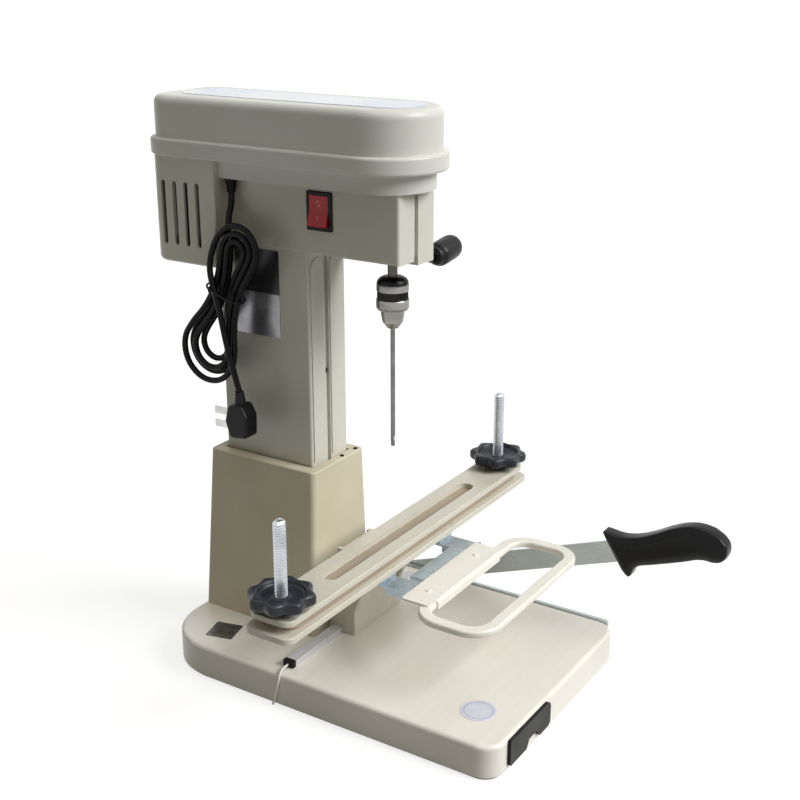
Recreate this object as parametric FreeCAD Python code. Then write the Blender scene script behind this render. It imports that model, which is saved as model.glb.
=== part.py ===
"""Bench paper drill with a clamping carriage and a side trimming knife.

Sizes are in millimetres. X is the operator's right, Y is the back and Z is up. Every place is
given from the drill's axis, and the finished pieces are shifted so that the origin is the
centre of the pad under the base.
"""
import FreeCAD, Part
import math
import os

V = FreeCAD.Vector

# General fits
RUNNING_GAP = 0.05        # radial, shaft in a hole that it turns in
SLIDING_GAP = 0.15        # each side, block on a guide
SOFT_GAP = 0.3            # between pieces that only pass each other

# Base board, its pad and the drawer in its front
BASE_WIDTH = 227.0
BASE_DEPTH = 338.0
BASE_TOP = 30.5
BASE_CENTRE_X = 5.65
BASE_CENTRE_Y = 9.25
BASE_CORNER = 18.0
BASE_CORNER_REAR_LEFT = 52.0
BASE_EDGE = 3.5
PAD_THICKNESS = 2.0
PAD_INSET = 3.0
DRAWER_CENTRE_X = -52.5
DRAWER_WIDTH = 68.0
DRAWER_BOTTOM = 7.0
DRAWER_TOP = 29.0
DRAWER_DEPTH = 96.0
DRAWER_WALL = 2.0
DRAWER_FRONT = 3.0
DRAWER_RIM = 3.0          # the front stands this far past the tray on each side
DRAWER_NOTCH = 24.0
DRAWER_NOTCH_HEIGHT = 7.0
DRAWER_TRAVEL = 75.0
DRAWER_GAP = 0.4

# Column, and the head that it carries: two half shells that move up and down together
COLUMN_HALF = 25.6
COLUMN_FRONT = 64.6
COLUMN_REAR = 157.6
COLUMN_BOTTOM = 128.0
HEAD_STEP = 0.8           # the head stands this far past the column on each side
HEAD_HALF = COLUMN_HALF + HEAD_STEP
HEAD_FRONT = -22.7
HEAD_BOTTOM = 366.8
HEAD_BOTTOM_RIGHT = 362.8
HEAD_TOP = 422.0
SHELL_WALL = 2.6
SHELL_EDGE = 2.4
GROOVE_LEFT = -4.2
GROOVE_RIGHT = 1.5
STRIP_THICKNESS = 2.4
STRIP_LAP = 2.8
COLUMN_PAD_PROUD = 1.0
COLUMN_PAD_MARGIN = 2.6
COLUMN_PAD_LOW = 186.0
HEAD_TRAVEL = 85.5

# Column cover that stands on the base
COVER_HALF_LOW = 44.1
COVER_HALF_HIGH = 37.3
COVER_FRONT_LOW = 53.5
COVER_REAR_LOW = 176.7
COVER_FRONT_HIGH = 55.0
COVER_REAR_HIGH = 167.6
COVER_TOP = 182.3
COVER_WALL = 2.5
COVER_CORNER = 5.0
COVER_GAP = 1.6

# Fixed post inside the column, with the rack that the lever's pinion climbs
POST_HALF = 17.0
POST_FRONT = 135.0
POST_DEPTH = 16.0
POST_TOP = 350.0
FOOT_THICKNESS = 8.0
FOOT_MARGIN = 7.0
GEAR_MODULE = 2.0
GEAR_TEETH = 29
GEAR_BACKLASH = 0.25
GEAR_LEFT = 5.0
GEAR_WIDTH = 10.0
PRESSURE_ANGLE = math.radians(20.0)
RACK_LOW = 248.0
RACK_BACK = 3.5           # rack body behind the tooth roots
SPRING_X = -14.0
SPRING_Y = 116.0
SPRING_RADIUS = 6.0
SPRING_WIRE = 1.5
ANCHOR_RADIUS = 2.5
GUIDE_HEIGHT = 16.0
UPPER_GUIDE_TOP = 309.0

# Feed lever on the right of the column
LEVER_Z = 345.0
LEVER_SHAFT = 5.0
LEVER_HUB_RADIUS = 12.0
LEVER_HUB_WIDTH = 12.0
LEVER_END = V(50.0, -6.0, 355.0)
LEVER_ARM_RADIUS = 4.5
GRIP_LENGTH = 36.0
GRIP_RISE = 20.0          # degrees that the grip tilts up, outwards
GRIP_RADIUS = 10.5
GRIP_NECK = 5.5

# Head tray with its lip, and the belt cover on top
LIP_HALF = 47.5
LIP_CENTRE_Y = 4.0
LIP_REAR_CORNER = 26.0
LIP_BOTTOM = 436.5
LIP_TOP = 451.0
LIP_EDGE = 2.5
BAND_INSET = 9.5
TRAY_WALL = 3.0
TRAY_FLOOR = 3.0
BELT_COVER_INSET = 4.5
BELT_COVER_WALL = 2.5
BELT_COVER_TOP = 485.0
BELT_COVER_ROUND = 7.0
LABEL_HALF = 25.0
LABEL_FRONT = -27.0
LABEL_THICKNESS = 0.4

# Motor, in its housing behind the column, which sets how far the tray and its cover reach back
MOTOR_RADIUS = 25.0
MOTOR_FREE = 2.4          # from the motor to the column
MOTOR_BEHIND = 1.5        # from the motor to the housing's rear wall
MOTOR_Y = COLUMN_REAR + MOTOR_FREE + MOTOR_RADIUS
LIP_OVERHANG = 7.0
LABEL_INSET = 18.0
HOUSING_HALF = 44.0
HOUSING_FRONT = 144.0
HOUSING_BOTTOM = 347.0
HOUSING_WALL = 2.5
HOUSING_REAR = MOTOR_Y + MOTOR_RADIUS + MOTOR_BEHIND + HOUSING_WALL
LIP_REAR = HOUSING_REAR + LIP_OVERHANG
LABEL_REAR = LIP_REAR - LABEL_INSET
HOUSING_CORNER = 14.0
HOUSING_EDGE = 5.0
VENT_WIDTH = 4.5
VENT_LOW = 362.5
VENT_HIGH = 416.5
VENT_PITCH = 12.2
VENT_FIRST_Y = 162.0
SIDE_VENTS = 4
REAR_VENTS = 3
MOTOR_BOTTOM = 357.0
MOTOR_WALL = 2.0
MOTOR_CAP = 5.0
MOTOR_SHAFT = 4.0
ROTOR_RADIUS = 15.0
STATOR_BORE = 15.6
FAN_RADIUS = 17.0
PULLEY_LOW = 455.0
PULLEY_HEIGHT = 14.0
SPINDLE_PULLEY_RADIUS = 30.0
MOTOR_PULLEY_RADIUS = 10.0
GROOVE_DEPTH = 4.0
BELT_HEIGHT = 6.0
BELT_THICKNESS = 3.5
BELT_GAP = 0.15

# Spindle, chuck and drill bit
SPINDLE_RADIUS = 4.0
SPINDLE_TOP = 477.0
SPINDLE_HOLE = 6.5
BEARING_RADIUS = 11.0
BEARING_WIDTH = 7.0
BEARING_HOUSING_RADIUS = 15.0
BEARING_HOUSING_TOP = 414.0
CHUCK_TOP = 352.0
CHUCK_RADIUS = 13.35
CHUCK_SHOULDER = 5.5
CHUCK_BAND_TOP = 340.0
CHUCK_BAND_BOTTOM = 333.4
CHUCK_BAND_DEPTH = 0.8
CHUCK_NOSE_TOP = 324.3
CHUCK_NOSE_BOTTOM = 309.3
CHUCK_NOSE_RADIUS = 9.5
CHUCK_NOSE_TIP = 4.6
KEY_HOLE_RADIUS = 2.2
BIT_RADIUS = 1.9
BIT_TIP = 207.5
BIT_POINT = 1.6

# Rocker switch on the left of the head
SWITCH_Y = 50.8
SWITCH_Z = 402.4
BEZEL_WIDTH = 24.4
BEZEL_HEIGHT = 31.4
BEZEL_PROUD = 1.8
SWITCH_BODY_DEPTH = 15.0
ROCKER_WIDTH = 18.0
ROCKER_RADIUS = 12.4
ROCKER_LIFT = 3.0
ROCKER_TILT = 9.0         # degrees each side of level
ROCKER_RIM = 3.4

# Labels, all left blank
PLATE_Y = 94.0
PLATE_WIDTH = 46.0
PLATE_LOW = 291.0
PLATE_HEIGHT = 74.0
PLATE_THICKNESS = 0.5
STICKER_THICKNESS = 0.25
SQUARE_STICKER = V(-76.0, 128.0, 0.0)
SQUARE_STICKER_SIZE = 25.0
SQUARE_STICKER_TURN = 14.0
ROUND_STICKER = V(-65.0, -122.0, 0.0)
ROUND_STICKER_RADIUS = 14.5

# Rail on the base and the carriage that slides along it
RAIL_LEFT = -90.0
RAIL_RIGHT = 100.0
RAIL_Y = 43.5
RAIL_WIDTH = 10.0
RAIL_HEIGHT = 5.5
RAIL_PLUG = 5.0
SADDLE_LEFT = -22.0
SADDLE_RIGHT = 52.0
SADDLE_BLOCK = 14.0       # height of the block that straddles the rail
SADDLE_SIDE = 4.0
WEB_THICKNESS = 8.0
WEB_FRONT = 26.0
FLANGE_THICKNESS = 6.0
FLANGE_FRONT = 2.0
CARRIAGE_LEFT_TRAVEL = 60.0
CARRIAGE_RIGHT_TRAVEL = 6.0

# Clamp bars
CLAMP_CENTRE_X = 15.6
STUD_SPACING = 340.0
STUD_RADIUS = 5.0
STUD_TOP = 199.2
LOWER_BAR_BOTTOM = 109.1
LOWER_BAR_THICKNESS = 5.5
LOWER_BAR_HALF_WIDTH = 22.4
LOWER_BAR_OVERHANG = 21.6
BED_THICKNESS = 7.0
BED_HALF_WIDTH = 17.0
BED_OVERHANG = 9.0
UPPER_BAR_THICKNESS = 4.6
UPPER_BAR_HALF_WIDTH = 20.0
UPPER_BAR_OVERHANG = 17.5
BAR_NOSE = 9.0            # corner cut or rounding at the bars' ends
SLOT_LEFT = -98.0
SLOT_RIGHT = 130.0
SLOT_HALF_WIDTH = 7.5
BAR_EDGE = 1.0
CLAMP_LIFT = 50.0
GAUGE_LEFT = -43.0
GAUGE_RIGHT = 4.0
GAUGE_THICKNESS = 2.0
GAUGE_RISE = 9.0

# Star knobs
KNOB_RADIUS = 27.0
KNOB_LOBES = 8
KNOB_SCALLOP = 6.0
KNOB_HUB_RADIUS = 12.0
KNOB_HUB_HEIGHT = 4.5
KNOB_HEIGHT = 15.0
KNOB_DISH = 4.0
KNOB_DISH_RADIUS = 19.0
KNOB_BOSS_RADIUS = 9.0

# Hinged carriage handle
HINGE_Y = -8.0
HINGE_Z = 98.6
KNUCKLE_RADIUS = 4.0
HINGE_PIN = 1.5
LEAF_THICKNESS = 1.6
LEAF_LEFT = -35.0
LEAF_WIDTH = 21.0
LEAF_SPACING = 93.0
LEAF_FRONT = -45.0
LEAF_FLANGE = 7.0
CENTRE_STRIP_LEFT = -9.0
CENTRE_STRIP_RIGHT = 57.0
CENTRE_STRIP_FRONT = -42.0
CENTRE_STRIP_REAR = -24.0
HANDLE_PLATE_LEFT = -50.0
HANDLE_PLATE_RIGHT = 72.0
HANDLE_PLATE_REAR = -40.0
HANDLE_PLATE_FRONT = -66.0
HANDLE_PLATE_THICKNESS = 2.0
HANDLE_LIP = 8.0
RIVET_RADIUS = 3.0
LOOP_LEFT = -68.0
LOOP_RIGHT = 113.0
LOOP_REAR = -56.0
LOOP_FRONT = -128.0
LOOP_BAR = 11.0
LOOP_THICKNESS = 6.0
LOOP_CORNER = 26.0
HANDLE_LIFT = 30.0        # degrees

# Trimming knife on the right edge of the base
FIXED_BLADE_THICKNESS = 3.0
FIXED_BLADE_LOW = 12.0
FIXED_BLADE_HIGH = 31.5
FIXED_BLADE_FRONT = -150.0
FIXED_BLADE_REAR = 86.0
KNIFE_PIVOT_Y = 60.0
KNIFE_PIVOT_Z = 23.0
KNIFE_ANGLE = 20.0        # degrees that the blade stands open in the photograph
KNIFE_CLOSE = 16.0
KNIFE_OPEN = 18.0
KNIFE_GAP = 0.3
KNIFE_THICKNESS = 2.0
KNIFE_WIDTH = 20.0
KNIFE_LENGTH = 240.0
KNIFE_HEEL = 12.0
KNIFE_BOLT = 4.0
HANDLE_HALF_THICKNESS = 11.0

# Mains lead, its hank and its plug
CORD_DIAMETER = 5.2
CORD_EXIT = V(-32.4, 135.0, 422.0)
RELIEF_LENGTH = 12.0
RELIEF_TOP_RADIUS = 4.6
RELIEF_TIP_RADIUS = 3.6
PLUG_X = -51.5

# The hank: loops in a YZ plane, in two layers, drawn in to a waist between two lobes. Each lobe
# is a circle whose centre and radius change steadily from the innermost loop outwards.
HANK_LAYER = -42.3        # x of the layer next to the column
HANK_LAYER_STEP = 5.95    # from one layer, and then to the tail that crosses outside
HANK_STEP = 6.6           # between turns of one layer at the waist
HANK_WAIST_HALF = 1.9     # half the waist of the innermost loop
HANK_UPPER_CENTRE = (119.5, 365.0)
HANK_UPPER_SHIFT = (-0.07, 0.11)
HANK_UPPER_RADIUS = 8.0
HANK_UPPER_GROWTH = 0.94
HANK_LOWER_CENTRE = (149.0, 283.0)
HANK_LOWER_SHIFT = (0.52, -0.50)
HANK_LOWER_RADIUS = 12.6
HANK_LOWER_GROWTH = 1.48
HANK_START = -0.135       # in turns from the middle of the first pass down through the waist
HANK_CLIMB = 1.5          # the pass, in turns, along which it changes layer and winds outwards
HANK_END = 3.855
HANK_RUN_SHARE = 0.115    # half a waist run's share of a turn
HANK_CLIMB_SHARE = 0.22

# Thin white thread from the rail's end
THREAD_DIAMETER = 2.0


def block(x0, x1, y0, y1, z0, z1):
    """A box between two corners."""
    return Part.makeBox(x1 - x0, y1 - y0, z1 - z0, V(x0, y0, z0))


def rod(radius, start, end):
    """A round bar between two points."""
    way = end - start
    return Part.makeCylinder(radius, way.Length, start, way)


def cone(start_radius, end_radius, start, end):
    """A tapered round bar between two points."""
    way = end - start
    return Part.makeCone(start_radius, end_radius, way.Length, start, way)


def fuse(shapes):
    """One solid from touching or overlapping shapes."""
    whole = shapes[0]
    for shape in shapes[1:]:
        whole = whole.fuse(shape)
    return whole.removeSplitter()


def rounded_wire(points, radii, place):
    """A closed wire through flat points, with an arc of its own radius at each corner.

    place turns a flat point into a point in space, and a radius of 0 leaves a corner sharp.
    """
    corners = []
    count = len(points)
    for index in range(count):
        here = FreeCAD.Vector(points[index][0], points[index][1], 0)
        before = FreeCAD.Vector(points[index - 1][0], points[index - 1][1], 0)
        after_point = points[(index + 1) % count]
        after = FreeCAD.Vector(after_point[0], after_point[1], 0)
        radius = radii[index]
        if radius <= 0:
            corners.append((here, None, here))
            continue
        to_before = (before - here).normalize()
        to_after = (after - here).normalize()
        half = to_before.getAngle(to_after) / 2
        reach = radius / math.tan(half)
        inward = (to_before + to_after).normalize()
        centre = here + inward * (radius / math.sin(half))
        corners.append((here + to_before * reach, centre - inward * radius, here + to_after * reach))
    edges = []
    for index in range(count):
        first, middle, last = corners[index]
        if middle is not None:
            edges.append(Part.Arc(place(first), place(middle), place(last)).toShape())
        following = corners[(index + 1) % count][0]
        if (following - last).Length > 1e-6:
            edges.append(Part.LineSegment(place(last), place(following)).toShape())
    return Part.Wire(edges)


def prism_z(points, radii, z0, z1):
    """A plate whose outline lies in XY."""
    wire = rounded_wire(points, radii, lambda p: V(p.x, p.y, z0))
    return Part.Face(wire).extrude(V(0, 0, z1 - z0))


def prism_x(points, radii, x0, x1):
    """A plate whose outline lies in YZ."""
    wire = rounded_wire(points, radii, lambda p: V(x0, p.x, p.y))
    return Part.Face(wire).extrude(V(x1 - x0, 0, 0))


def prism_y(points, radii, y0, y1):
    """A plate whose outline lies in XZ."""
    wire = rounded_wire(points, radii, lambda p: V(p.x, y0, p.y))
    return Part.Face(wire).extrude(V(0, y1 - y0, 0))


def rectangle(x0, x1, y0, y1):
    """The corners of a rectangle, front left first and counterclockwise."""
    return [(x0, y0), (x1, y0), (x1, y1), (x0, y1)]


def turned(profile):
    """A solid turned about the drill's axis from (radius, height) points."""
    points = [V(radius, 0, height) for radius, height in profile]
    points.append(points[0])
    return Part.Face(Part.makePolygon(points)).revolve(V(0, 0, 0), V(0, 0, 1), 360)


def soften(shape, radius, wanted):
    """Rounds the edges that wanted() picks by their box."""
    edges = [edge for edge in shape.Edges if wanted(edge.BoundBox)]
    return shape.makeFillet(radius, edges)


def level(low, high):
    """True for a box that lies flat at one height."""
    return abs(high - low) < 1e-4


def slots_x(x0, x1, y, z0, z1, width):
    """A slot with round ends, standing along Z and cut through along X."""
    radius = width / 2
    points = rectangle(y - radius, y + radius, z0, z1)
    return prism_x(points, [radius * 0.999] * 4, x0, x1)


def slots_y(y0, y1, x, z0, z1, width):
    """A slot with round ends, standing along Z and cut through along Y."""
    radius = width / 2
    points = rectangle(x - radius, x + radius, z0, z1)
    return prism_y(points, [radius * 0.999] * 4, y0, y1)


# Places worked out from the sizes above
base_left = BASE_CENTRE_X - BASE_WIDTH / 2
base_right = BASE_CENTRE_X + BASE_WIDTH / 2
base_front = BASE_CENTRE_Y - BASE_DEPTH / 2
base_rear = BASE_CENTRE_Y + BASE_DEPTH / 2
drawer_left = DRAWER_CENTRE_X - DRAWER_WIDTH / 2
drawer_right = DRAWER_CENTRE_X + DRAWER_WIDTH / 2
gear_radius = GEAR_MODULE * GEAR_TEETH / 2
rack_pitch_y = POST_FRONT - RACK_BACK - 1.25 * GEAR_MODULE
lever_y = rack_pitch_y - gear_radius
foot_top = BASE_TOP + FOOT_THICKNESS
guide_front = rack_pitch_y - 3 * GEAR_MODULE
head_floor = HEAD_BOTTOM + SHELL_WALL
strip_front = COLUMN_FRONT + SHELL_WALL + 0.1
strip_floor = head_floor + 0.1
strip_top = strip_floor + STRIP_THICKNESS
spindle_seat = strip_top + 0.1
tray_top = LIP_BOTTOM + TRAY_FLOOR
clamp_left = CLAMP_CENTRE_X - STUD_SPACING / 2
clamp_right = CLAMP_CENTRE_X + STUD_SPACING / 2
lower_bar_top = LOWER_BAR_BOTTOM + LOWER_BAR_THICKNESS
bed_top = lower_bar_top + BED_THICKNESS
upper_bar_top = bed_top + UPPER_BAR_THICKNESS
leaf_top = HINGE_Z - KNUCKLE_RADIUS + LEAF_THICKNESS
knife_x0 = base_right + FIXED_BLADE_THICKNESS + KNIFE_GAP
knife_x1 = knife_x0 + KNIFE_THICKNESS
lever_ratio = 1 / gear_radius
spring_low = COLUMN_BOTTOM + GUIDE_HEIGHT
spring_high = LEVER_Z - 15.0
relief_tip = CORD_EXIT - V(0, 0, RELIEF_LENGTH)


def base_outline(inset):
    """Corners and radii of the base, drawn in by inset."""
    points = rectangle(base_left + inset, base_right - inset, base_front + inset, base_rear - inset)
    radii = [BASE_CORNER - inset, BASE_CORNER - inset, BASE_CORNER - inset,
             BASE_CORNER_REAR_LEFT - inset]
    return points, radii


def make_anti_slip_pad():
    points, radii = base_outline(PAD_INSET)
    return prism_z(points, radii, 0, PAD_THICKNESS)


def drawer_tray_box(gap):
    """The space of the drawer's tray, grown by gap."""
    x0 = drawer_left + DRAWER_RIM - gap
    x1 = drawer_right - DRAWER_RIM + gap
    y1 = base_front + DRAWER_DEPTH + gap
    return block(x0, x1, base_front, y1, DRAWER_BOTTOM + DRAWER_RIM - gap, DRAWER_TOP - DRAWER_RIM + gap)


def foot_bolt_places():
    """Where the four bolts hold the column's foot to the base."""
    margin = FOOT_MARGIN
    x = COVER_HALF_LOW - COVER_WALL - 2 * margin
    return [(sx * x, y) for sx in (-1, 1)
            for y in (COVER_FRONT_LOW + 3 * margin, COVER_REAR_LOW - 2.5 * margin)]


def make_base_board():
    points, radii = base_outline(0)
    board = prism_z(points, radii, PAD_THICKNESS, BASE_TOP)
    board = soften(board, BASE_EDGE, lambda b: level(b.ZMin, b.ZMax) and b.ZMin > BASE_TOP - 0.1)
    board = soften(board, BASE_EDGE / 2, lambda b: level(b.ZMin, b.ZMax) and b.ZMax < PAD_THICKNESS + 0.1)
    pocket = drawer_tray_box(DRAWER_GAP)
    pocket = pocket.fuse(pocket.translated(V(0, -DRAWER_FRONT, 0)))
    board = board.cut(pocket)
    bolt = rod(KNIFE_BOLT + RUNNING_GAP, V(base_right - 25.2, KNIFE_PIVOT_Y, KNIFE_PIVOT_Z),
               V(base_right + 1, KNIFE_PIVOT_Y, KNIFE_PIVOT_Z))
    return board.cut(bolt)


def make_drawer():
    points = rectangle(drawer_left, drawer_right, DRAWER_BOTTOM, DRAWER_TOP)
    front = prism_y(points, [1.5, 5.0, 5.0, 1.5], base_front - DRAWER_FRONT, base_front - 0.1)
    notch_x = drawer_left + 38.0
    half = DRAWER_NOTCH / 2
    high = DRAWER_BOTTOM + DRAWER_NOTCH_HEIGHT
    notch = prism_y([(notch_x - half, DRAWER_BOTTOM - 1), (notch_x + half, DRAWER_BOTTOM - 1),
                     (notch_x + half - 5, high), (notch_x - half + 5, high)],
                    [0, 0, 2, 2], base_front - DRAWER_FRONT - 1, base_front)
    tray = drawer_tray_box(0)
    inside = tray.BoundBox
    hollow = block(inside.XMin + DRAWER_WALL, inside.XMax - DRAWER_WALL,
                   inside.YMin + DRAWER_WALL, inside.YMax - DRAWER_WALL,
                   inside.ZMin + DRAWER_WALL, inside.ZMax + 1)
    lower = block(inside.XMin, inside.XMax, base_front - 1, base_front + 1,
                  inside.ZMin, inside.ZMax)
    body = fuse([front.cut(notch), lower.cut(notch), tray])
    return body.cut(hollow)


def make_column_foot():
    margin = FOOT_MARGIN
    x = COVER_HALF_LOW - COVER_WALL - margin
    points = rectangle(-x, x, COVER_FRONT_LOW + 2 * margin, COVER_REAR_LOW - 1.5 * margin)
    foot = prism_z(points, [4.0] * 4, BASE_TOP, foot_top)
    post = block(-POST_HALF, POST_HALF, POST_FRONT, POST_FRONT + POST_DEPTH, BASE_TOP - 1, foot_top + 1)
    return foot.cut(post)


def make_column_cover():
    def ring(half, front, rear, corner, z):
        points = rectangle(-half, half, front, rear)
        return rounded_wire(points, [corner] * 4, lambda p: V(p.x, p.y, z))

    outer = Part.makeLoft([ring(COVER_HALF_LOW, COVER_FRONT_LOW, COVER_REAR_LOW, COVER_CORNER, BASE_TOP),
                           ring(COVER_HALF_HIGH, COVER_FRONT_HIGH, COVER_REAR_HIGH, COVER_CORNER,
                                COVER_TOP)], True, True)
    outer = soften(outer, 1.5, lambda b: level(b.ZMin, b.ZMax) and b.ZMin > COVER_TOP - 0.1)
    wall = COVER_WALL
    inner = Part.makeLoft([ring(COVER_HALF_LOW - wall, COVER_FRONT_LOW + wall, COVER_REAR_LOW - wall,
                                COVER_CORNER - wall, BASE_TOP - 0.01),
                           ring(COVER_HALF_HIGH - wall, COVER_FRONT_HIGH + wall, COVER_REAR_HIGH - wall,
                                COVER_CORNER - wall, COVER_TOP - wall)], True, True)
    gap = COVER_GAP
    hole = block(-COLUMN_HALF - gap, COLUMN_HALF + gap, COLUMN_FRONT - gap, COLUMN_REAR + gap,
                 COVER_TOP - 2 * wall, COVER_TOP + 1)
    return outer.cut(inner).cut(hole)


def make_guide_post():
    post = block(-POST_HALF, POST_HALF, POST_FRONT, POST_FRONT + POST_DEPTH, BASE_TOP, POST_TOP)
    z = spring_high + ANCHOR_RADIUS
    pin = rod(ANCHOR_RADIUS, V(SPRING_X, SPRING_Y - SPRING_RADIUS, z), V(SPRING_X, POST_FRONT + 2, z))
    return fuse([post, pin])


def make_feed_rack():
    """Straight teeth with a gap level with the lever, where the pinion's tooth stands at rest."""
    pitch = math.pi * GEAR_MODULE
    half = pitch / 4 - GEAR_BACKLASH / 2
    tip = rack_pitch_y - GEAR_MODULE
    root = rack_pitch_y + 1.25 * GEAR_MODULE
    slope = math.tan(PRESSURE_ANGLE)
    points = [(POST_FRONT, POST_TOP), (POST_FRONT, RACK_LOW), (root, RACK_LOW)]
    first = math.ceil((RACK_LOW + half + slope * 3 - LEVER_Z) / pitch - 0.5)
    last = math.floor((POST_TOP - half - slope * 3 - LEVER_Z) / pitch - 0.5)
    for step in range(first, last + 1):
        z = LEVER_Z + (step + 0.5) * pitch
        at_root = half + slope * (root - rack_pitch_y)
        at_tip = half - slope * (rack_pitch_y - tip)
        points += [(root, z - at_root), (tip, z - at_tip), (tip, z + at_tip), (root, z + at_root)]
    points.append((root, POST_TOP))
    return prism_x(points, [0] * len(points), GEAR_LEFT - 0.5, GEAR_LEFT + GEAR_WIDTH + 0.5)


def make_feed_pinion():
    """Involute gear on the lever's shaft, with a tooth pointing back at the rack."""
    base_radius = gear_radius * math.cos(PRESSURE_ANGLE)
    outer = gear_radius + GEAR_MODULE
    root = gear_radius - 1.25 * GEAR_MODULE
    involute = math.tan(PRESSURE_ANGLE) - PRESSURE_ANGLE
    half = math.pi / 2 / GEAR_TEETH - GEAR_BACKLASH / 2 / gear_radius
    steps = 4
    flank = []
    for step in range(steps + 1):
        radius = base_radius + (outer - base_radius) * step / steps
        slant = math.acos(min(1.0, base_radius / radius))
        flank.append((radius, half + involute - (math.tan(slant) - slant)))
    flank.insert(0, (root, flank[0][1]))
    points = []
    for tooth in range(GEAR_TEETH):
        centre = 2 * math.pi * tooth / GEAR_TEETH
        side = [(radius, centre - angle) for radius, angle in flank]
        side += [(radius, centre + angle) for radius, angle in reversed(flank)]
        points += [(lever_y + r * math.cos(a), LEVER_Z + r * math.sin(a)) for r, a in side]
    gear = prism_x(points, [0] * len(points), GEAR_LEFT, GEAR_LEFT + GEAR_WIDTH)
    shaft = rod(LEVER_SHAFT, V(-COLUMN_HALF + SHELL_WALL + 1.2, lever_y, LEVER_Z),
                V(HEAD_HALF + 1.4, lever_y, LEVER_Z))
    return fuse([gear, shaft])


def make_return_spring():
    low = V(SPRING_X, SPRING_Y, spring_low)
    high = V(SPRING_X, SPRING_Y, spring_high)
    return rod(SPRING_RADIUS, low, high).cut(rod(SPRING_RADIUS - SPRING_WIRE, low, high))


def body_half(side):
    """One half shell of the column and head: side is -1 for the left and 1 for the right."""
    inner = GROOVE_LEFT if side < 0 else GROOVE_RIGHT
    floor = HEAD_BOTTOM if side < 0 else HEAD_BOTTOM_RIGHT

    def span(outer):
        return (-outer, inner) if side < 0 else (inner, outer)

    x0, x1 = span(COLUMN_HALF)
    column = block(x0, x1, COLUMN_FRONT, COLUMN_REAR, COLUMN_BOTTOM, floor + 1)
    x0, x1 = span(HEAD_HALF)
    head = block(x0, x1, HEAD_FRONT, COLUMN_REAR, floor, HEAD_TOP)
    outer_x = side * COLUMN_HALF
    head_x = side * HEAD_HALF
    column = soften(column, SHELL_EDGE, lambda b: level(b.XMin, b.XMax) and abs(b.XMin - outer_x) < 0.01
                    and level(b.YMin, b.YMax))
    head = soften(head, SHELL_EDGE, lambda b: level(b.XMin, b.XMax) and abs(b.XMin - head_x) < 0.01
                  and b.ZMax < HEAD_TOP + 0.1 and not (level(b.ZMin, b.ZMax) and b.ZMin > HEAD_TOP - 0.1))
    wall = SHELL_WALL
    x0, x1 = span(COLUMN_HALF - wall)
    inside_column = block(x0, x1, COLUMN_FRONT + wall, COLUMN_REAR - wall, COLUMN_BOTTOM - 1, head_floor + 1)
    x0, x1 = span(HEAD_HALF - wall)
    inside_head = block(x0, x1, HEAD_FRONT + wall, COLUMN_REAR - wall, head_floor, HEAD_TOP + 1)
    pad = column_pad(side)
    half = column.fuse(head).fuse(pad)
    return half.cut(inside_column).cut(inside_head).removeSplitter()


def column_pad(side):
    """Raised panel with an arched top on the front of one column half."""
    margin = COLUMN_PAD_MARGIN
    if side < 0:
        x0, x1 = -COLUMN_HALF + margin, GROOVE_LEFT - margin / 2
    else:
        x0, x1 = GROOVE_RIGHT + margin / 2, COLUMN_HALF - margin
    high = HEAD_BOTTOM_RIGHT - 2.0
    radius = (x1 - x0) / 2 * 0.999
    return prism_y(rectangle(x0, x1, COLUMN_PAD_LOW, high), [0.5, 0.5, radius, radius],
                   COLUMN_FRONT - COLUMN_PAD_PROUD, COLUMN_FRONT + 0.5)


def make_left_body_half():
    half = body_half(-1)
    boss_x = -COLUMN_HALF + SHELL_WALL
    boss = rod(9.0, V(boss_x - 0.5, lever_y, LEVER_Z), V(boss_x + 6, lever_y, LEVER_Z))
    half = half.fuse(boss)
    half = half.cut(rod(LEVER_SHAFT + RUNNING_GAP, V(boss_x + 1, lever_y, LEVER_Z),
                        V(boss_x + 12, lever_y, LEVER_Z)))
    body = block(-HEAD_HALF - 1, -HEAD_HALF + SHELL_WALL + 1,
                 SWITCH_Y - BEZEL_WIDTH / 2 + 1.5, SWITCH_Y + BEZEL_WIDTH / 2 - 1.5,
                 SWITCH_Z - BEZEL_HEIGHT / 2 + 1.5, SWITCH_Z + BEZEL_HEIGHT / 2 - 1.5)
    half = half.cut(body)
    return half.cut(spindle_hole()).removeSplitter()


def make_right_body_half():
    half = body_half(1)
    half = half.cut(rod(LEVER_SHAFT + RUNNING_GAP, V(COLUMN_HALF - 2 * SHELL_WALL, lever_y, LEVER_Z),
                        V(COLUMN_HALF + 2, lever_y, LEVER_Z)))
    return half.cut(spindle_hole()).removeSplitter()


def spindle_hole():
    """The clear way for the spindle through the head's floor."""
    return rod(SPINDLE_HOLE, V(0, 0, HEAD_BOTTOM_RIGHT - 1), V(0, 0, spindle_seat + 1))


def make_centre_strips():
    """Strips that close the groove between the halves, one in front and one behind."""
    x0 = GROOVE_LEFT - STRIP_LAP
    x1 = GROOVE_RIGHT + STRIP_LAP
    thick = STRIP_THICKNESS
    face = HEAD_FRONT + SHELL_WALL + 0.1
    top = HEAD_TOP - 0.2
    front = fuse([block(x0, x1, strip_front, strip_front + thick, COLUMN_BOTTOM, strip_top),
                  block(x0, x1, face, strip_front + thick, strip_floor, strip_top),
                  block(x0, x1, face, face + thick, strip_floor, top)])
    front = front.cut(spindle_hole())
    back = COLUMN_REAR - SHELL_WALL - 0.1
    rear = block(x0, x1, back - thick, back, COLUMN_BOTTOM, top)
    return Part.makeCompound([front, rear])


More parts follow.
